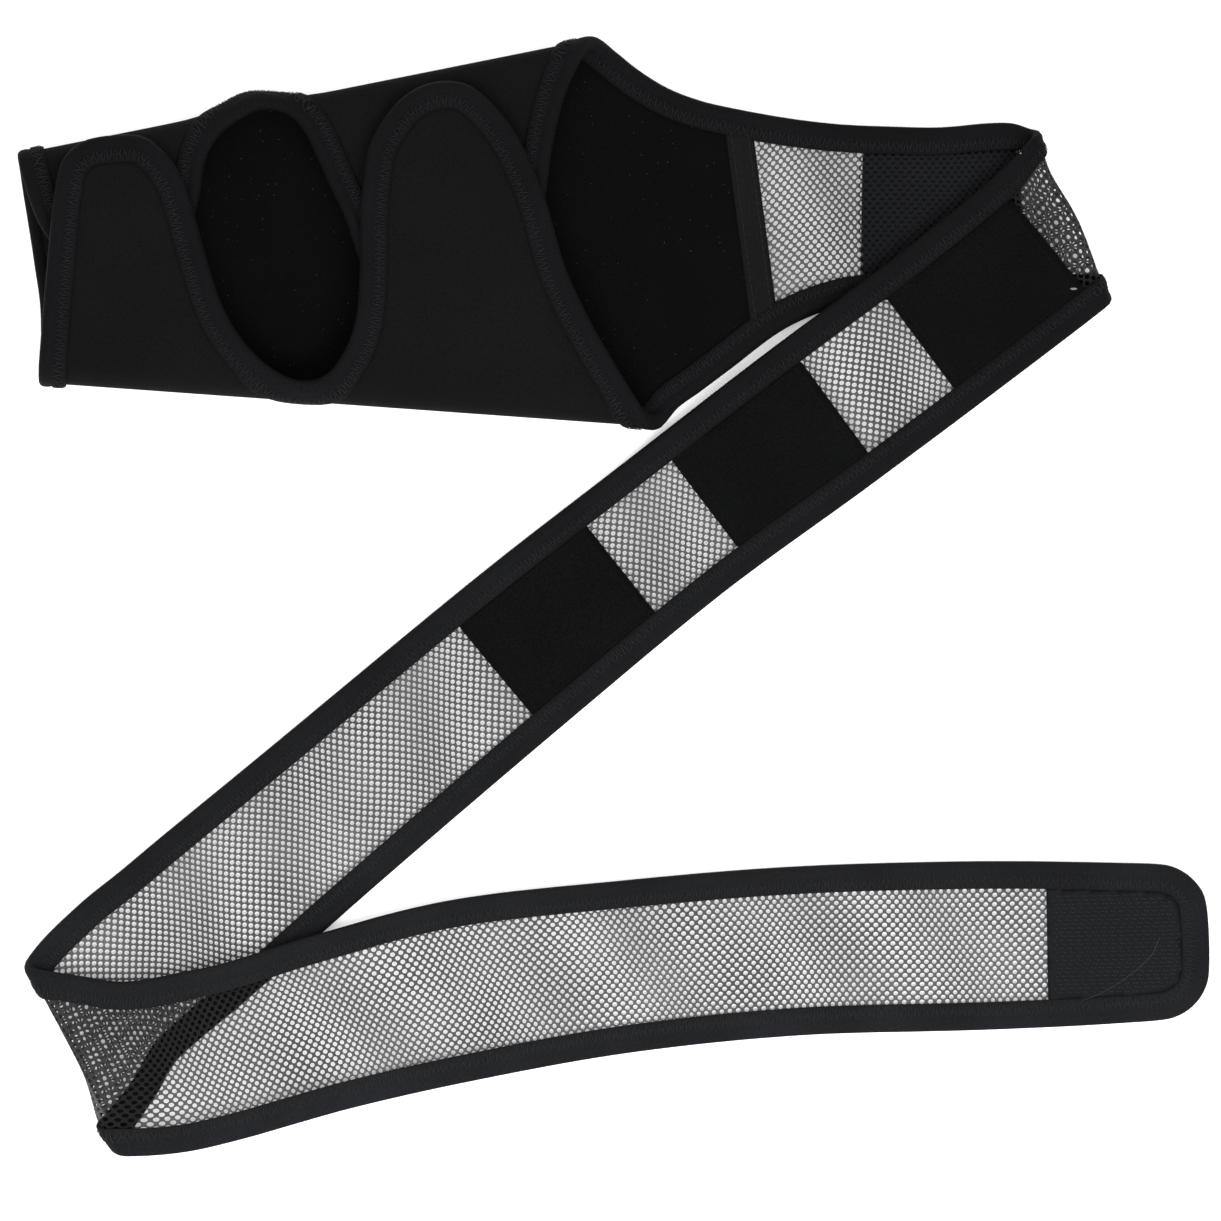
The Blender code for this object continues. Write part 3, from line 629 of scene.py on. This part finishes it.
def seam_end(side, back):
    """Offset at which the seam, back from its right edge, meets the inside of the binding."""
    offsets = side * np.linspace(0.0, 1.5 * STRAP_WIDTH, 400)
    spots = np.array([seam_point(offset, back) for offset in offsets])
    near = EDGE[np.linalg.norm(EDGE - FOLD_1_AT + AXIS * RUN_1, axis=1) < 2 * STRAP_WIDTH]
    touching = edge_distance(spots, near) < TAPE_WIDTH - 0.0006
    return offsets[np.argmax(touching)]


height = NEOPRENE / 2 + GAP
section = tape_section(height + TAPE_WALL, height)
ends = [(seam_end(-1, depth), seam_end(1, depth)) for depth, _ in section]
rows = np.array([
    [*seam_point(low + share * (high - low), depth), z]
    for share in np.linspace(0, 1, SEAM_RINGS) for (depth, z), (low, high) in zip(section, ends)])
seam_faces = tube_faces(SEAM_RINGS, len(section), False)
seam = outward(add_mesh("seam", place(rows), seam_faces, [SEAM], rows[:, :2]))
print("seam:", len(seam.data.polygons), "faces")

# %% [markdown]
# ## Open mesh
# The strap is knitted air mesh: staggered round holes, 2.7 mm apart along the strap and 1.6 mm
# from row to row, which leave two fifths of it open. A Geometry Nodes tree sets one small tile, a
# hexagon with a round hole, on every point of the lattice, joins the tiles where they meet and
# gives them their material. The points are in strap coordinates, so the rows follow its curve.

# %% Open mesh
def new_tree(name, inputs):
    """An empty Geometry Nodes tree with named inputs, and its group input and output."""
    tree = bpy.data.node_groups.new(name, "GeometryNodeTree")
    tree.interface.new_socket("Geometry", in_out="INPUT", socket_type="NodeSocketGeometry")
    for label, kind in inputs:
        tree.interface.new_socket(label, in_out="INPUT", socket_type="NodeSocket" + kind)
    tree.interface.new_socket("Geometry", in_out="OUTPUT", socket_type="NodeSocketGeometry")
    return tree, tree.nodes.new("NodeGroupInput"), tree.nodes.new("NodeGroupOutput")


def connect(tree, *rows):
    """Link a tree's nodes. A row is a node and its output, then a node and its input."""
    for source, result, target, value in rows:
        tree.links.new(source.outputs[result], target.inputs[value])


def copies_of(tree, group_in, shape):
    """A node that sets copies of an input object on points."""
    info = tree.nodes.new("GeometryNodeObjectInfo")
    copies = tree.nodes.new("GeometryNodeInstanceOnPoints")
    connect(tree, (group_in, shape, info, "Object"), (info, "Geometry", copies, "Instance"))
    return copies


def end_tree(tree, group_in, group_out, last):
    """Realize what the last node gives, set the material and end the tree."""
    realize = tree.nodes.new("GeometryNodeRealizeInstances")
    paint = tree.nodes.new("GeometryNodeSetMaterial")
    connect(tree, (last, 0, realize, "Geometry"), (realize, "Geometry", paint, "Geometry"),
            (group_in, "Material", paint, "Material"), (paint, "Geometry", group_out, "Geometry"))


def grow(name, points, edges, faces, tree, values):
    """Run a tree on a mesh of points, edges or faces, and keep its result as plain mesh."""
    mesh = bpy.data.meshes.new(name)
    mesh.from_pydata(points.tolist(), edges, faces)
    obj = add_object(name, mesh)
    modifier = obj.modifiers.new(name, "NODES")
    modifier.node_group = tree
    for item in tree.interface.items_tree:
        if item.name in values:
            modifier[item.identifier] = values[item.name]
    bpy.context.view_layer.update()
    graph = bpy.context.evaluated_depsgraph_get()
    result = bpy.data.meshes.new_from_object(obj.evaluated_get(graph), depsgraph=graph)
    obj.modifiers.clear()
    obj.data = result
    bpy.data.meshes.remove(mesh)
    return obj


def positions(obj):
    """All points of a mesh object."""
    flat = np.zeros(len(obj.data.vertices) * 3, np.float32)
    obj.data.vertices.foreach_get("co", flat)
    return flat.reshape(-1, 3).astype(float)


def move_to(obj, points, smooth=True):
    """Put a mesh object's points elsewhere."""
    obj.data.vertices.foreach_set("co", np.asarray(points, np.float32).ravel())
    obj.data.update()
    if smooth:
        obj.data.shade_smooth()
    return obj


def pattern(name, points, faces):
    """A small mesh that a tree repeats. It is not part of the scene itself."""
    mesh = bpy.data.meshes.new(name)
    mesh.from_pydata(points, [], faces)
    return bpy.data.objects.new(name, mesh)


NET_PITCH, NET_ROW, NET_HOLE, NET_THICK = 0.00273, 0.0016, 0.00081, 0.0007
NET_START, NET_LINES, NET_INSET, NET_PAST_SEAM, NET_WELD = -0.13, 26, 0.0052, 0.001, 2e-5
corner = (NET_ROW ** 2 - (NET_PITCH / 2) ** 2) / (2 * NET_ROW)
low_right, high_right, top = (NET_PITCH / 2, -corner), (NET_PITCH / 2, corner), (0.0, NET_ROW - corner)
rim = [low_right, high_right, tuple(np.mean([high_right, top], axis=0)), top]
rim += [(-x, y) for x, y in (rim[2], rim[1], rim[0])]
rim += [(-x, -y) for x, y in (rim[2], rim[3], rim[4])]
turns = [k * math.pi / 4 for k in range(8)]
hole = [(NET_HOLE * math.cos(turn), NET_HOLE * math.sin(turn)) for turn in turns]
tile_points = [(x, y, z) for z in (NET_THICK / 2, -NET_THICK / 2) for x, y in rim + hole]
owner = [0, 0, 1, 2, 3, 4, 4, 5, 6, 7]  # which point of the hole each point of the rim goes with
around, side = len(rim), len(rim + hole)
tile_faces = []
for k in range(around):
    a, b = k, (k + 1) % around
    face = [a, b, around + owner[b]] + ([] if owner[a] == owner[b] else [around + owner[a]])
    tile_faces += [face, [side + v for v in reversed(face)]]
for k in range(len(hole)):
    a, b = around + k, around + (k + 1) % len(hole)
    tile_faces.append([a, b, side + b, side + a])
tile = pattern("net_tile", tile_points, tile_faces)

net_tree, group_in, group_out = new_tree(
    "net", [("Tile", "Object"), ("Weld", "Float"), ("Material", "Material")])
copies = copies_of(net_tree, group_in, "Tile")
made = net_tree.nodes.new("GeometryNodeRealizeInstances")
weld = net_tree.nodes.new("GeometryNodeMergeByDistance")
connect(net_tree, (group_in, "Geometry", copies, "Points"), (copies, "Instances", made, "Geometry"),
        (made, "Geometry", weld, "Geometry"), (group_in, "Weld", weld, "Distance"))
end_tree(net_tree, group_in, group_out, weld)


def close_rim(obj):
    """Wall in the open rim of a net that has a top and an under side."""
    bm = bmesh.new()
    bm.from_mesh(obj.data)
    at = {tuple(round(c * 1e5) for c in v.co.xy): v for v in bm.verts if v.co.z < 0}
    for edge in [e for e in bm.edges if e.is_boundary and e.verts[0].co.z > 0]:
        loop = edge.link_loops[0]
        a, b = loop.vert, loop.link_loop_next.vert
        bm.faces.new([b, a] + [at[tuple(round(c * 1e5) for c in v.co.xy)] for v in (a, b)])
    bm.to_mesh(obj.data)
    bm.free()


columns = np.arange(NET_START, TIP_AT, NET_PITCH)
lines = np.arange(-NET_LINES, NET_LINES + 1) * NET_ROW
lattice = np.array([[s + NET_PITCH / 2 * (j % 2), t] for j, t in enumerate(lines) for s in columns])
flat = strap_point(lattice[:, 0], lattice[:, 1])
kept = inside(flat, (EDGE + EDGE_IN * NET_INSET)[::2])
kept &= (flat - seam_point(0.0)) @ SEAM_OUT > -NET_PAST_SEAM
lattice = lattice[kept]


def slack(spots):
    """Let holes open and close in soft bands and their rows wander, as in loose mesh."""
    along, across = spots[:, 0].copy(), spots[:, 1].copy()
    row = np.round(across / NET_ROW)
    start = columns[0] + NET_PITCH / 2 * (row % 2)
    column = np.round((along - start) / NET_PITCH)
    out = spots[:, :2] - np.column_stack([start + column * NET_PITCH, row * NET_ROW])
    band = np.sin(along / 0.0066 + 1.5 * np.sin(across / 0.016)) * np.sin(along / 0.029 + 1.0)
    rim = np.linalg.norm(out, axis=1) < 1.08 * NET_HOLE
    spots[rim, :2] += out[rim] * (0.07 * band - 0.02)[rim, None]
    spots[:, 0] += 0.0008 * np.sin(along / 0.0085 + 1.6 * np.sin(across / 0.021))
    spots[:, 1] += 0.0005 * np.sin(along / 0.0140) * np.cos(across / 0.012)
    return spots


PATCH_STARTS = [-RUN_1 + FIRST_WINDOW + k * PATCH_PITCH for k in range(4)]
# The mesh is cut at the first patch, and where a piece would have too many faces
cuts = [-RUN_1, PATCH_STARTS[0], PATCH_STARTS[0] + PATCH_LENGTH, 0.175, 0.505, TIP_AT]
nets, net_areas = [], []
for k, (start, end) in enumerate(zip(cuts, cuts[1:])):
    part = lattice[(lattice[:, 0] >= start - (k == 0)) & (lattice[:, 0] < end)]
    # the mesh over the first patch gets the darker yarn, painted shade
    yarn = NET_PAINTED_SHADE if k == 1 else NET
    points = np.column_stack([part, np.zeros(len(part))])
    net = grow(f"net_{'abcde'[k]}", points, [], [], net_tree,
               {"Tile": tile, "Weld": NET_WELD, "Material": yarn})
    close_rim(net)
    spots = slack(positions(net))
    flat = strap_point(spots[:, 0], spots[:, 1])
    net_areas.append(len(part) * NET_PITCH * NET_ROW)
    move_to(net, place(np.column_stack([flat, spots[:, 2]])), smooth=False)
    nets.append(net)
print("mesh:", len(lattice), "holes,", sum(len(n.data.polygons) for n in nets), "faces")

# %% [markdown]
# ## Patches
# Four loop patches are sewn on the strap's outer face and one hook patch on the inner face of
# its tip. A loop patch is a millimetre of pile on a backing, and thins to its sewn rim. The
# backing faces the mesh and shows through its holes.

# %% Patches
UNDER_TAPE, PILE_CELL, HOOK_CELL, HOOK_BASE = 0.0004, 0.0035, 0.003, 0.0005
LOOP_SIDE, HOOK_SIDE = -STRAP_MESH / 2 - GAP, STRAP_MESH / 2 + GAP  # faces that meet the mesh
SPARE = 0.06  # length of the tip's edge that is kept before the hook patch, and then cut off


def strip_edge(start, end):
    """Closed edge of the strap between its bindings, from one distance along it to another."""
    ats = np.linspace(start, end, 30)
    inset = TAPE_WIDTH - UNDER_TAPE
    return resample(np.vstack([
        strap_point(ats, -(read_row(ats, 2) - inset)),
        strap_point(ats, read_row(ats, 2) - inset)[::-1]]), 0.0015)


def pile_height(flat, edge):
    """Share of the full thickness: thin at the sewn rim, full from 2 mm in."""
    return 0.55 + 0.45 * ramp(edge_distance(flat[0], edge) / 0.002)


patches = []
for letter, start in zip("abcd", PATCH_STARTS):
    edge = strip_edge(start, start + PATCH_LENGTH)
    cells = flat_cells(edge, PILE_CELL)
    face = LOOP_SIDE - PATCH_THICK * pile_height(cells, edge)
    patches.append(solid("loop_pile_" + letter, cells, face, LOOP_SIDE, [BACKING, LOOPS]))
HOOK_AT = TIP_AT - TAPE_WIDTH - HOOK_LENGTH
tip_edge = EDGE + EDGE_IN * (TAPE_WIDTH - UNDER_TAPE)
tip_edge = tip_edge[(tip_edge - FOLD_1_AT) @ AXIS > HOOK_AT - SPARE]
middle, beside = (strap_point(HOOK_AT, offset) for offset in (0.0, STRAP_WIDTH))
across = (beside - middle) / np.linalg.norm(beside - middle)
back = np.array([-across[1], across[0]])
cells = flat_cells(tip_edge, HOOK_CELL, (middle, back, "outside"))
hook_base = solid("hook_base", cells, HOOK_SIDE, HOOK_SIDE + HOOK_BASE, [HOOKS])
print("patches:", len(patches), "and the hook patch")

# %% [markdown]
# ## Light through the mesh
# The yarn of the mesh is thin, so white light from the table glows through it and greys it. Over
# black tape or a patch it stays black, and over a second layer of mesh it is in between. From
# every point of a net a ray looks straight down, past its own layer, and what it meets is kept as
# an attribute that the yarn's material reads. The solid strap stands for the mesh below.

# %% Light through the mesh
def tree_of(objects):
    """All faces of some objects, ready to be met by rays."""
    points, faces = [], []
    for obj in objects:
        faces += [[len(points) + v for v in face.vertices] for face in obj.data.polygons]
        points += positions(obj).tolist()
    return BVHTree.FromPolygons(points, faces)


LAYER_DROP, MESH_BELOW = 0.002, 0.30
black_below = tree_of([sleeve, binding, seam, *patches, hook_base])
mesh_below = tree_of([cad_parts["strap_mesh"]])
for net in nets:
    glow = []
    for x, y, z in positions(net).tolist():
        eye = Vector((x, y, z - LAYER_DROP))
        over_black = black_below.ray_cast(eye, Vector((0, 0, -1)))[0] is not None
        over_mesh = not over_black and mesh_below.ray_cast(eye, Vector((0, 0, -1)))[0] is not None
        glow.append(0.0 if over_black else MESH_BELOW if over_mesh else 1.0)
    net.data.attributes.new("light_below", "FLOAT", "POINT").data.foreach_set("value", glow)
    print(net.name, "over the table:", round(glow.count(1.0) / len(glow), 2))

# %% [markdown]
# ## Hooks
# Hook tape is a field of stiff nylon bristles, each bent over at its end, in close rows. The
# tree stands one bent bristle on each point of a lattice on the hook patch, and turns every
# second one the other way, as on the real tape.

# %% Hooks
def rod(name, line, radius, sides=5):
    """A thin rod along a line of points, tapered at both ends."""
    line = np.asarray(line, float)
    points, count = [], len(line)
    for i, at in enumerate(line):
        ahead = line[min(i + 1, count - 1)] - line[max(i - 1, 0)]
        ahead /= np.linalg.norm(ahead)
        askew = (0.3, 0.2, 0.9) if abs(ahead[2]) < 0.9 else (1, 0, 0)
        side = np.cross(ahead, askew)
        side /= np.linalg.norm(side)
        other = np.cross(ahead, side)
        reach = radius * (0.55 if i in (0, count - 1) else 1.0)
        points += [at + reach * (math.cos(a) * side + math.sin(a) * other)
                   for a in np.arange(sides) * math.tau / sides]
    return pattern(name, points, tube_faces(count, sides, False))


def math_node(tree, operation, *values):
    """A maths node with its second and third inputs fixed."""
    node = tree.nodes.new("ShaderNodeMath")
    node.operation = operation
    for i, value in enumerate(values, 1):
        node.inputs[i].default_value = value
    return node


def every_second(tree):
    """A node that gives 0 and 1 in turn, from copy to copy."""
    index = tree.nodes.new("GeometryNodeInputIndex")
    odd = math_node(tree, "PINGPONG", 1.0)
    connect(tree, (index, "Index", odd, 0))
    return odd


hook_tree, group_in, group_out = new_tree("hooks", [("Hook", "Object"), ("Material", "Material")])
copies = copies_of(hook_tree, group_in, "Hook")
odd = every_second(hook_tree)
turn = math_node(hook_tree, "MULTIPLY", math.pi)
spin = hook_tree.nodes.new("ShaderNodeCombineXYZ")
connect(hook_tree, (odd, "Value", turn, 0), (turn, "Value", spin, "Z"),
        (group_in, "Geometry", copies, "Points"), (spin, "Vector", copies, "Rotation"))
end_tree(hook_tree, group_in, group_out, copies)

HOOK_PITCH, HOOK_RADIUS, HOOK_FOOT = 0.0014, 0.00018, HOOK_SIDE + 0.00045
BARE_START, BARE_SIDE = 0.0028, 0.0012  # the rim of the hook tape has no bristles
HOOK_FIELD, HOOK_HALF = 0.07, 0.021
hook_line = [(0, 0, 0), (0.00005, 0, 0.0003), (0.0002, 0, 0.00048), (0.00042, 0, 0.00044),
             (0.0005, 0, 0.0003)]
hook = rod("hook", hook_line, HOOK_RADIUS, sides=4)
spots = np.array([[s + HOOK_PITCH / 2 * (j % 2), t]
                  for j, t in enumerate(np.arange(-HOOK_HALF, HOOK_HALF + 0.001, HOOK_PITCH))
                  for s in np.arange(TIP_AT - HOOK_FIELD, TIP_AT, HOOK_PITCH)])
flat = strap_point(spots[:, 0], spots[:, 1])
fits = inside(flat, tip_edge) & ((flat - middle) @ -back > BARE_START)
fits &= edge_distance(flat, EDGE) > TAPE_WIDTH + BARE_SIDE
points = np.column_stack([flat, np.zeros(len(flat))])[fits]
hooks = grow("hooks", points, [], [], hook_tree, {"Hook": hook, "Material": NYLON})
raised = positions(hooks)
raised[:, 2] += HOOK_FOOT
move_to(hooks, place(raised))
print("hooks:", int(fits.sum()))

# %% [markdown]
# ## Stitches
# Black thread holds the tape down. A zigzag runs over its flat inner half on both faces, and a
# second zigzag of another pitch crosses it, so that the thread looks dense and uneven. Straight
# rows run round the patches and along both sides of the seam tape. The tree follows a line, sets
# one short stitch every 1 to 3 mm along it and tilts odd and even stitches to either side.

# %% Stitches
stitch_tree, group_in, group_out = new_tree(
    "stitches", [("Stitch", "Object"), ("Pitch", "Float"), ("Tilt", "Float"), ("Material", "Material")])
line = stitch_tree.nodes.new("GeometryNodeMeshToCurve")
spaced = stitch_tree.nodes.new("GeometryNodeResampleCurve")
spaced.mode = "LENGTH"
tangent = stitch_tree.nodes.new("GeometryNodeInputTangent")
align = stitch_tree.nodes.new("FunctionNodeAlignEulerToVector")
align.axis = "X"
odd = every_second(stitch_tree)
either_side = math_node(stitch_tree, "MULTIPLY_ADD", 2.0, -1.0)
tilt = math_node(stitch_tree, "MULTIPLY")
spin = stitch_tree.nodes.new("ShaderNodeCombineXYZ")
copies = copies_of(stitch_tree, group_in, "Stitch")
turned = stitch_tree.nodes.new("GeometryNodeRotateInstances")
turned.inputs["Local Space"].default_value = True
connect(stitch_tree, (group_in, "Geometry", line, "Mesh"), (line, "Curve", spaced, "Curve"),
        (group_in, "Pitch", spaced, "Length"), (spaced, "Curve", copies, "Points"),
        (tangent, "Tangent", align, "Vector"), (align, "Rotation", copies, "Rotation"),
        (odd, "Value", either_side, 0), (either_side, "Value", tilt, 0),
        (group_in, "Tilt", tilt, 1), (tilt, "Value", spin, "Z"),
        (copies, "Instances", turned, "Instances"), (spin, "Vector", turned, "Rotation"))
end_tree(stitch_tree, group_in, group_out, turned)


def stitch(name, length, radius):
    """One stitch: a rod that bows up between its two ends."""
    ends = [(-length / 2, 0, -radius), (-length / 3, 0, radius * 0.4), (length / 3, 0, radius * 0.4),
            (length / 2, 0, -radius)]
    return rod(name, ends, radius, sides=3)


def stitch_row(name, line, shape, pitch, lean, height, closed=True, thread=THREAD):
    """Stitches along a flat line, on the tape's upper (1) or under face (-1) or at a height."""
    count = len(line)
    edges = [(k, k + 1) for k in range(count - 1)] + ([(count - 1, 0)] if closed else [])
    points = np.column_stack([line, np.zeros(count)])
    row = grow(name, points, edges, [], stitch_tree,
               {"Stitch": shape, "Pitch": pitch, "Tilt": lean, "Material": thread})
    spots = positions(row)
    if height < 0:
        spots[:, 2] *= -1
        row.data.flip_normals()
    lift = sheet_gap(spots) + TAPE_WALL if abs(height) == 1 else abs(height)
    spots[:, 2] += np.sign(height) * lift
    return move_to(row, place(spots))


straight = stitch("straight_stitch", 0.0021, 0.00018)
slanted = stitch("slanted_stitch", 0.0027, 0.00013)
# Share of the tape's width in from the edge, pitch and tilt of both zigzags
ZIGZAGS = (("zigzag", 0.76, 0.0011, 1.3), ("cover", 0.63, 0.0016, 1.2))
STRAIGHT_PITCH, HEM_ENDS, HEM_SIDES = 0.0026, 0.0016, 0.0014
stitching = []
for face, height in (("top", 1), ("under", -1)):
    for kind, depth, pitch, lean in ZIGZAGS:
        line = EDGE + EDGE_IN * (depth * TAPE_WIDTH)
        stitching.append(stitch_row(f"{kind}_stitches_{face}", line, slanted, pitch, lean, height))
for letter, start in zip("abcd", PATCH_STARTS):
    hem = strip_edge(start + HEM_ENDS, start + PATCH_LENGTH - HEM_ENDS)
    hem = hem + inward(hem) * HEM_SIDES
    # the patch stitches use the darker thread, painted shade of the pile
    stitching.append(stitch_row("patch_stitches_" + letter, hem, straight, STRAIGHT_PITCH, 0.0,
                                LOOP_SIDE - PATCH_THICK * 0.86, thread=THREAD_PAINTED_SHADE))
for share in (0.2, 0.8):
    depth = share * TAPE_WIDTH
    line = resample([seam_point(seam_end(side, depth), depth) for side in (-1, 1)], EDGE_STEP, False)
    stitching.append(stitch_row(f"seam_stitches_{round(share * 10)}", line, straight, STRAIGHT_PITCH,
                                0.0, NEOPRENE / 2 + GAP + TAPE_WALL * 0.95, closed=False))
print("stitching:", sum(len(s.data.polygons) for s in stitching), "faces")

# %% [markdown]
# ## Lint
# Pale fibres cling to the soft lining. A tree scatters short bent fibres over the flat neoprene
# with a fixed seed. A white fleck lies by the strap's first fold, a smaller one on the top tape,
# and a pale hair is caught in the hooks.

# %% Lint
lint_tree, group_in, group_out = new_tree(
    "lint", [("Fibre", "Object"), ("Density", "Float"), ("Seed", "Int"), ("Material", "Material")])
scatter = lint_tree.nodes.new("GeometryNodeDistributePointsOnFaces")
turn = lint_tree.nodes.new("FunctionNodeRandomValue")
turn.data_type = "FLOAT_VECTOR"
turn.inputs[1].default_value = (0.3, 0.3, math.tau)
shrink = lint_tree.nodes.new("FunctionNodeRandomValue")
shrink.inputs[2].default_value = 0.2
shrink.inputs[3].default_value = 0.6
copies = copies_of(lint_tree, group_in, "Fibre")
connect(lint_tree, (group_in, "Geometry", scatter, "Mesh"), (group_in, "Density", scatter, "Density"),
        (group_in, "Seed", scatter, "Seed"), (group_in, "Seed", turn, "Seed"),
        (group_in, "Seed", shrink, "Seed"), (scatter, "Points", copies, "Points"),
        (turn, "Value", copies, "Rotation"), (shrink, 1, copies, "Scale"))
end_tree(lint_tree, group_in, group_out, copies)

FIBRE_RADIUS, LIFT = 0.00006, 0.0001  # lint and flecks lie a little clear of the cloth
bent_fibre = [(-0.0005, 0, 0), (-0.0001, 0.00012, 0.0001), (0.0003, 0.0001, 0.00012),
              (0.0006, -0.0002, 0)]
fibre = rod("fibre", bent_fibre, FIBRE_RADIUS, sides=4)
points, faces, _ = flat_panel
lint = grow("lint", np.column_stack([points, np.zeros(len(points))]), [], faces, lint_tree,
            {"Fibre": fibre, "Density": 21000.0, "Seed": 7, "Material": LINT})
raised = positions(lint)
raised[:, 2] += NEOPRENE / 2 + LIFT
move_to(lint, place(raised))
print("lint:", len(lint.data.polygons) // len(fibre.data.polygons), "fibres")

# Spots of the picture in its pixels, which are 0.35 mm wide
PICTURE, PICTURE_MIDDLE, PIXEL = 1221, (613.6, 596.2), 0.35e-3
FLECK_BY_FOLD, TAPE_BY_FOLD = (1072, 290), (1072, 296)
FLECK_ON_TAPE, TAPE_BESIDE = (1019, 155), (1019, 150)
HAIR_SPOTS = ((1082, 1000), (1100, 993), (1122, 980), (1139, 967), (1152, 954), (1159, 937))


def from_photo(x, y):
    """Frame x and y of a spot of the picture."""
    return (x - PICTURE_MIDDLE[0]) * PIXEL, (PICTURE_MIDDLE[1] - y) * PIXEL


def chip(name, spot, wide, high, top):
    """A tiny rounded fleck lying at a height over the table."""
    bpy.ops.mesh.primitive_uv_sphere_add(segments=12, ring_count=8, radius=1.0)
    obj = bpy.context.active_object
    obj.name = obj.data.name = name
    x, y = from_photo(*spot)
    shape = positions(obj) * (wide / 2, high / 2, 0.00025)
    shape[:, 0] += 0.25 * shape[:, 1] * np.sign(shape[:, 0])
    move_to(obj, shape + (x, y, top))
    obj.data.materials.append(FLECK)
    return obj


def height_of(obj, spot):
    """Height of the topmost point of a piece near a spot of the picture."""
    points = positions(obj)
    near = np.linalg.norm(points[:, :2] - from_photo(*spot), axis=1) < 0.004
    return float(points[near, 2].max())


flecks = [
    chip("fleck_by_fold", FLECK_BY_FOLD, 0.0025, 0.0008, height_of(binding, TAPE_BY_FOLD) + LIFT),
    chip("fleck_on_tape", FLECK_ON_TAPE, 0.0007, 0.0006, height_of(binding, TAPE_BESIDE) + LIFT)]
caught = resample([(*from_photo(x, y), 0.0) for x, y in HAIR_SPOTS], EDGE_STEP, closed=False)
caught[:, 2] = positions(hooks)[:, 2].max() + LIFT
hair = rod("caught_thread", caught, FIBRE_RADIUS)
bpy.context.scene.collection.objects.link(hair)
hair.data.materials.append(HAIR)
print("flecks:", len(flecks), "and a caught hair")

# %% [markdown]
# ## Hidden pads
# Two plain pads hold the round flaps down on the upper front. They hardly show, so they keep the
# shape of the CAD pads and get a cloth of their own.

# %% Hidden pads
pads = []
for node in ("small_flap_pad", "large_flap_pad"):
    pad = add_object(node + "_cloth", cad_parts[node].data.copy())
    pad.data.materials.clear()
    pad.data.materials.append(PAD)
    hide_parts(node)
    pads.append(pad)
print("pads:", len(pads))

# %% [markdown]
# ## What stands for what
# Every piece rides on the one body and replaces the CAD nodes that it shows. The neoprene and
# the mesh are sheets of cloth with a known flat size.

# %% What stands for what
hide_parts("sleeve_panel")
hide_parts("strap_binding_lower", "strap_binding_upper", "front_binding", "flap_binding")
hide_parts("seam_tape")
for net in nets:
    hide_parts("strap_mesh")
for patch, letter in zip(patches, "abcd"):
    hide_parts("loop_patch_" + letter)
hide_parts("hook_patch")
SLOTS = (
    ("neoprene", [sleeve]), ("binding_tape", [binding]), ("seam_tape", [seam]), ("strap_mesh", nets),
    ("loop_pile", patches), ("hook_tape", [hook_base, hooks]), ("fastening_pad", pads),
    ("binding_tape", stitching), ("neoprene", [lint, hair, *flecks]))
for slot, pieces in SLOTS:
    for piece in pieces:
        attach(piece, "root")

panel, panel_area = flat_panel[0], 0.0
for face in flat_panel[1]:
    x, y = panel[face].T
    panel_area += 0.5 * abs(float(np.dot(x, np.roll(y, -1)) - np.dot(y, np.roll(x, -1))))

# %% [markdown]
# ## Table, light and camera
# The brace lies on plain white, in an even white surround. The table gives a little light of its
# own, so that it is pure white where it is open. Under the mesh and beside the tape it gets less
# light, and that makes the soft greys there. A lamp over the near side lifts the strap's last run
# a little. The camera is straight above with a long lens, so nothing leans.

# %% Table, light and camera
white = bpy.data.materials.new("white_table")
white.use_nodes = True
for socket, value in (("Base Color", (0.85, 0.85, 0.85, 1.0)), ("Roughness", 0.9),
                      ("Emission Color", (1.0, 1.0, 1.0, 1.0)), ("Emission Strength", 0.22)):
    white.node_tree.nodes["Principled BSDF"].inputs[socket].default_value = value
TABLE_HALF, TABLE_DROP = 4.0, 0.0002
corners = np.array([(-1, -1, 0), (1, -1, 0), (1, 1, 0), (-1, 1, 0)]) * TABLE_HALF - (0, 0, TABLE_DROP)
table = add_mesh("table", corners, [[0, 1, 2, 3]], [white])

world = bpy.data.worlds.new("studio")
world.use_nodes = True
world.node_tree.nodes["Background"].inputs["Color"].default_value = (1.0, 1.0, 1.0, 1.0)
world.node_tree.nodes["Background"].inputs["Strength"].default_value = 1.6
bpy.context.scene.world = world

light = bpy.data.lights.new("soft_light", "AREA")
light.shape = "RECTANGLE"
light.size, light.size_y = 0.6, 0.3
light.energy = 6.0
lamp = add_object("soft_light", light)
lamp.location = (0.05, -0.30, 0.70)
lamp.rotation_euler = (Vector((0.0, -0.03, 0.0)) - lamp.location).to_track_quat("-Z", "Y").to_euler()

lens = bpy.data.cameras.new("camera")
lens.sensor_width = 36.0
CAMERA_HEIGHT = 3.0
lens.lens = lens.sensor_width * CAMERA_HEIGHT / (PICTURE * PIXEL)
camera = add_object("camera", lens)
camera.location = (*from_photo(PICTURE / 2, PICTURE / 2), CAMERA_HEIGHT)
bpy.context.scene.camera = camera
bpy.context.scene.view_settings.view_transform = "Standard"
print("camera over", [round(v, 4) for v in camera.location])
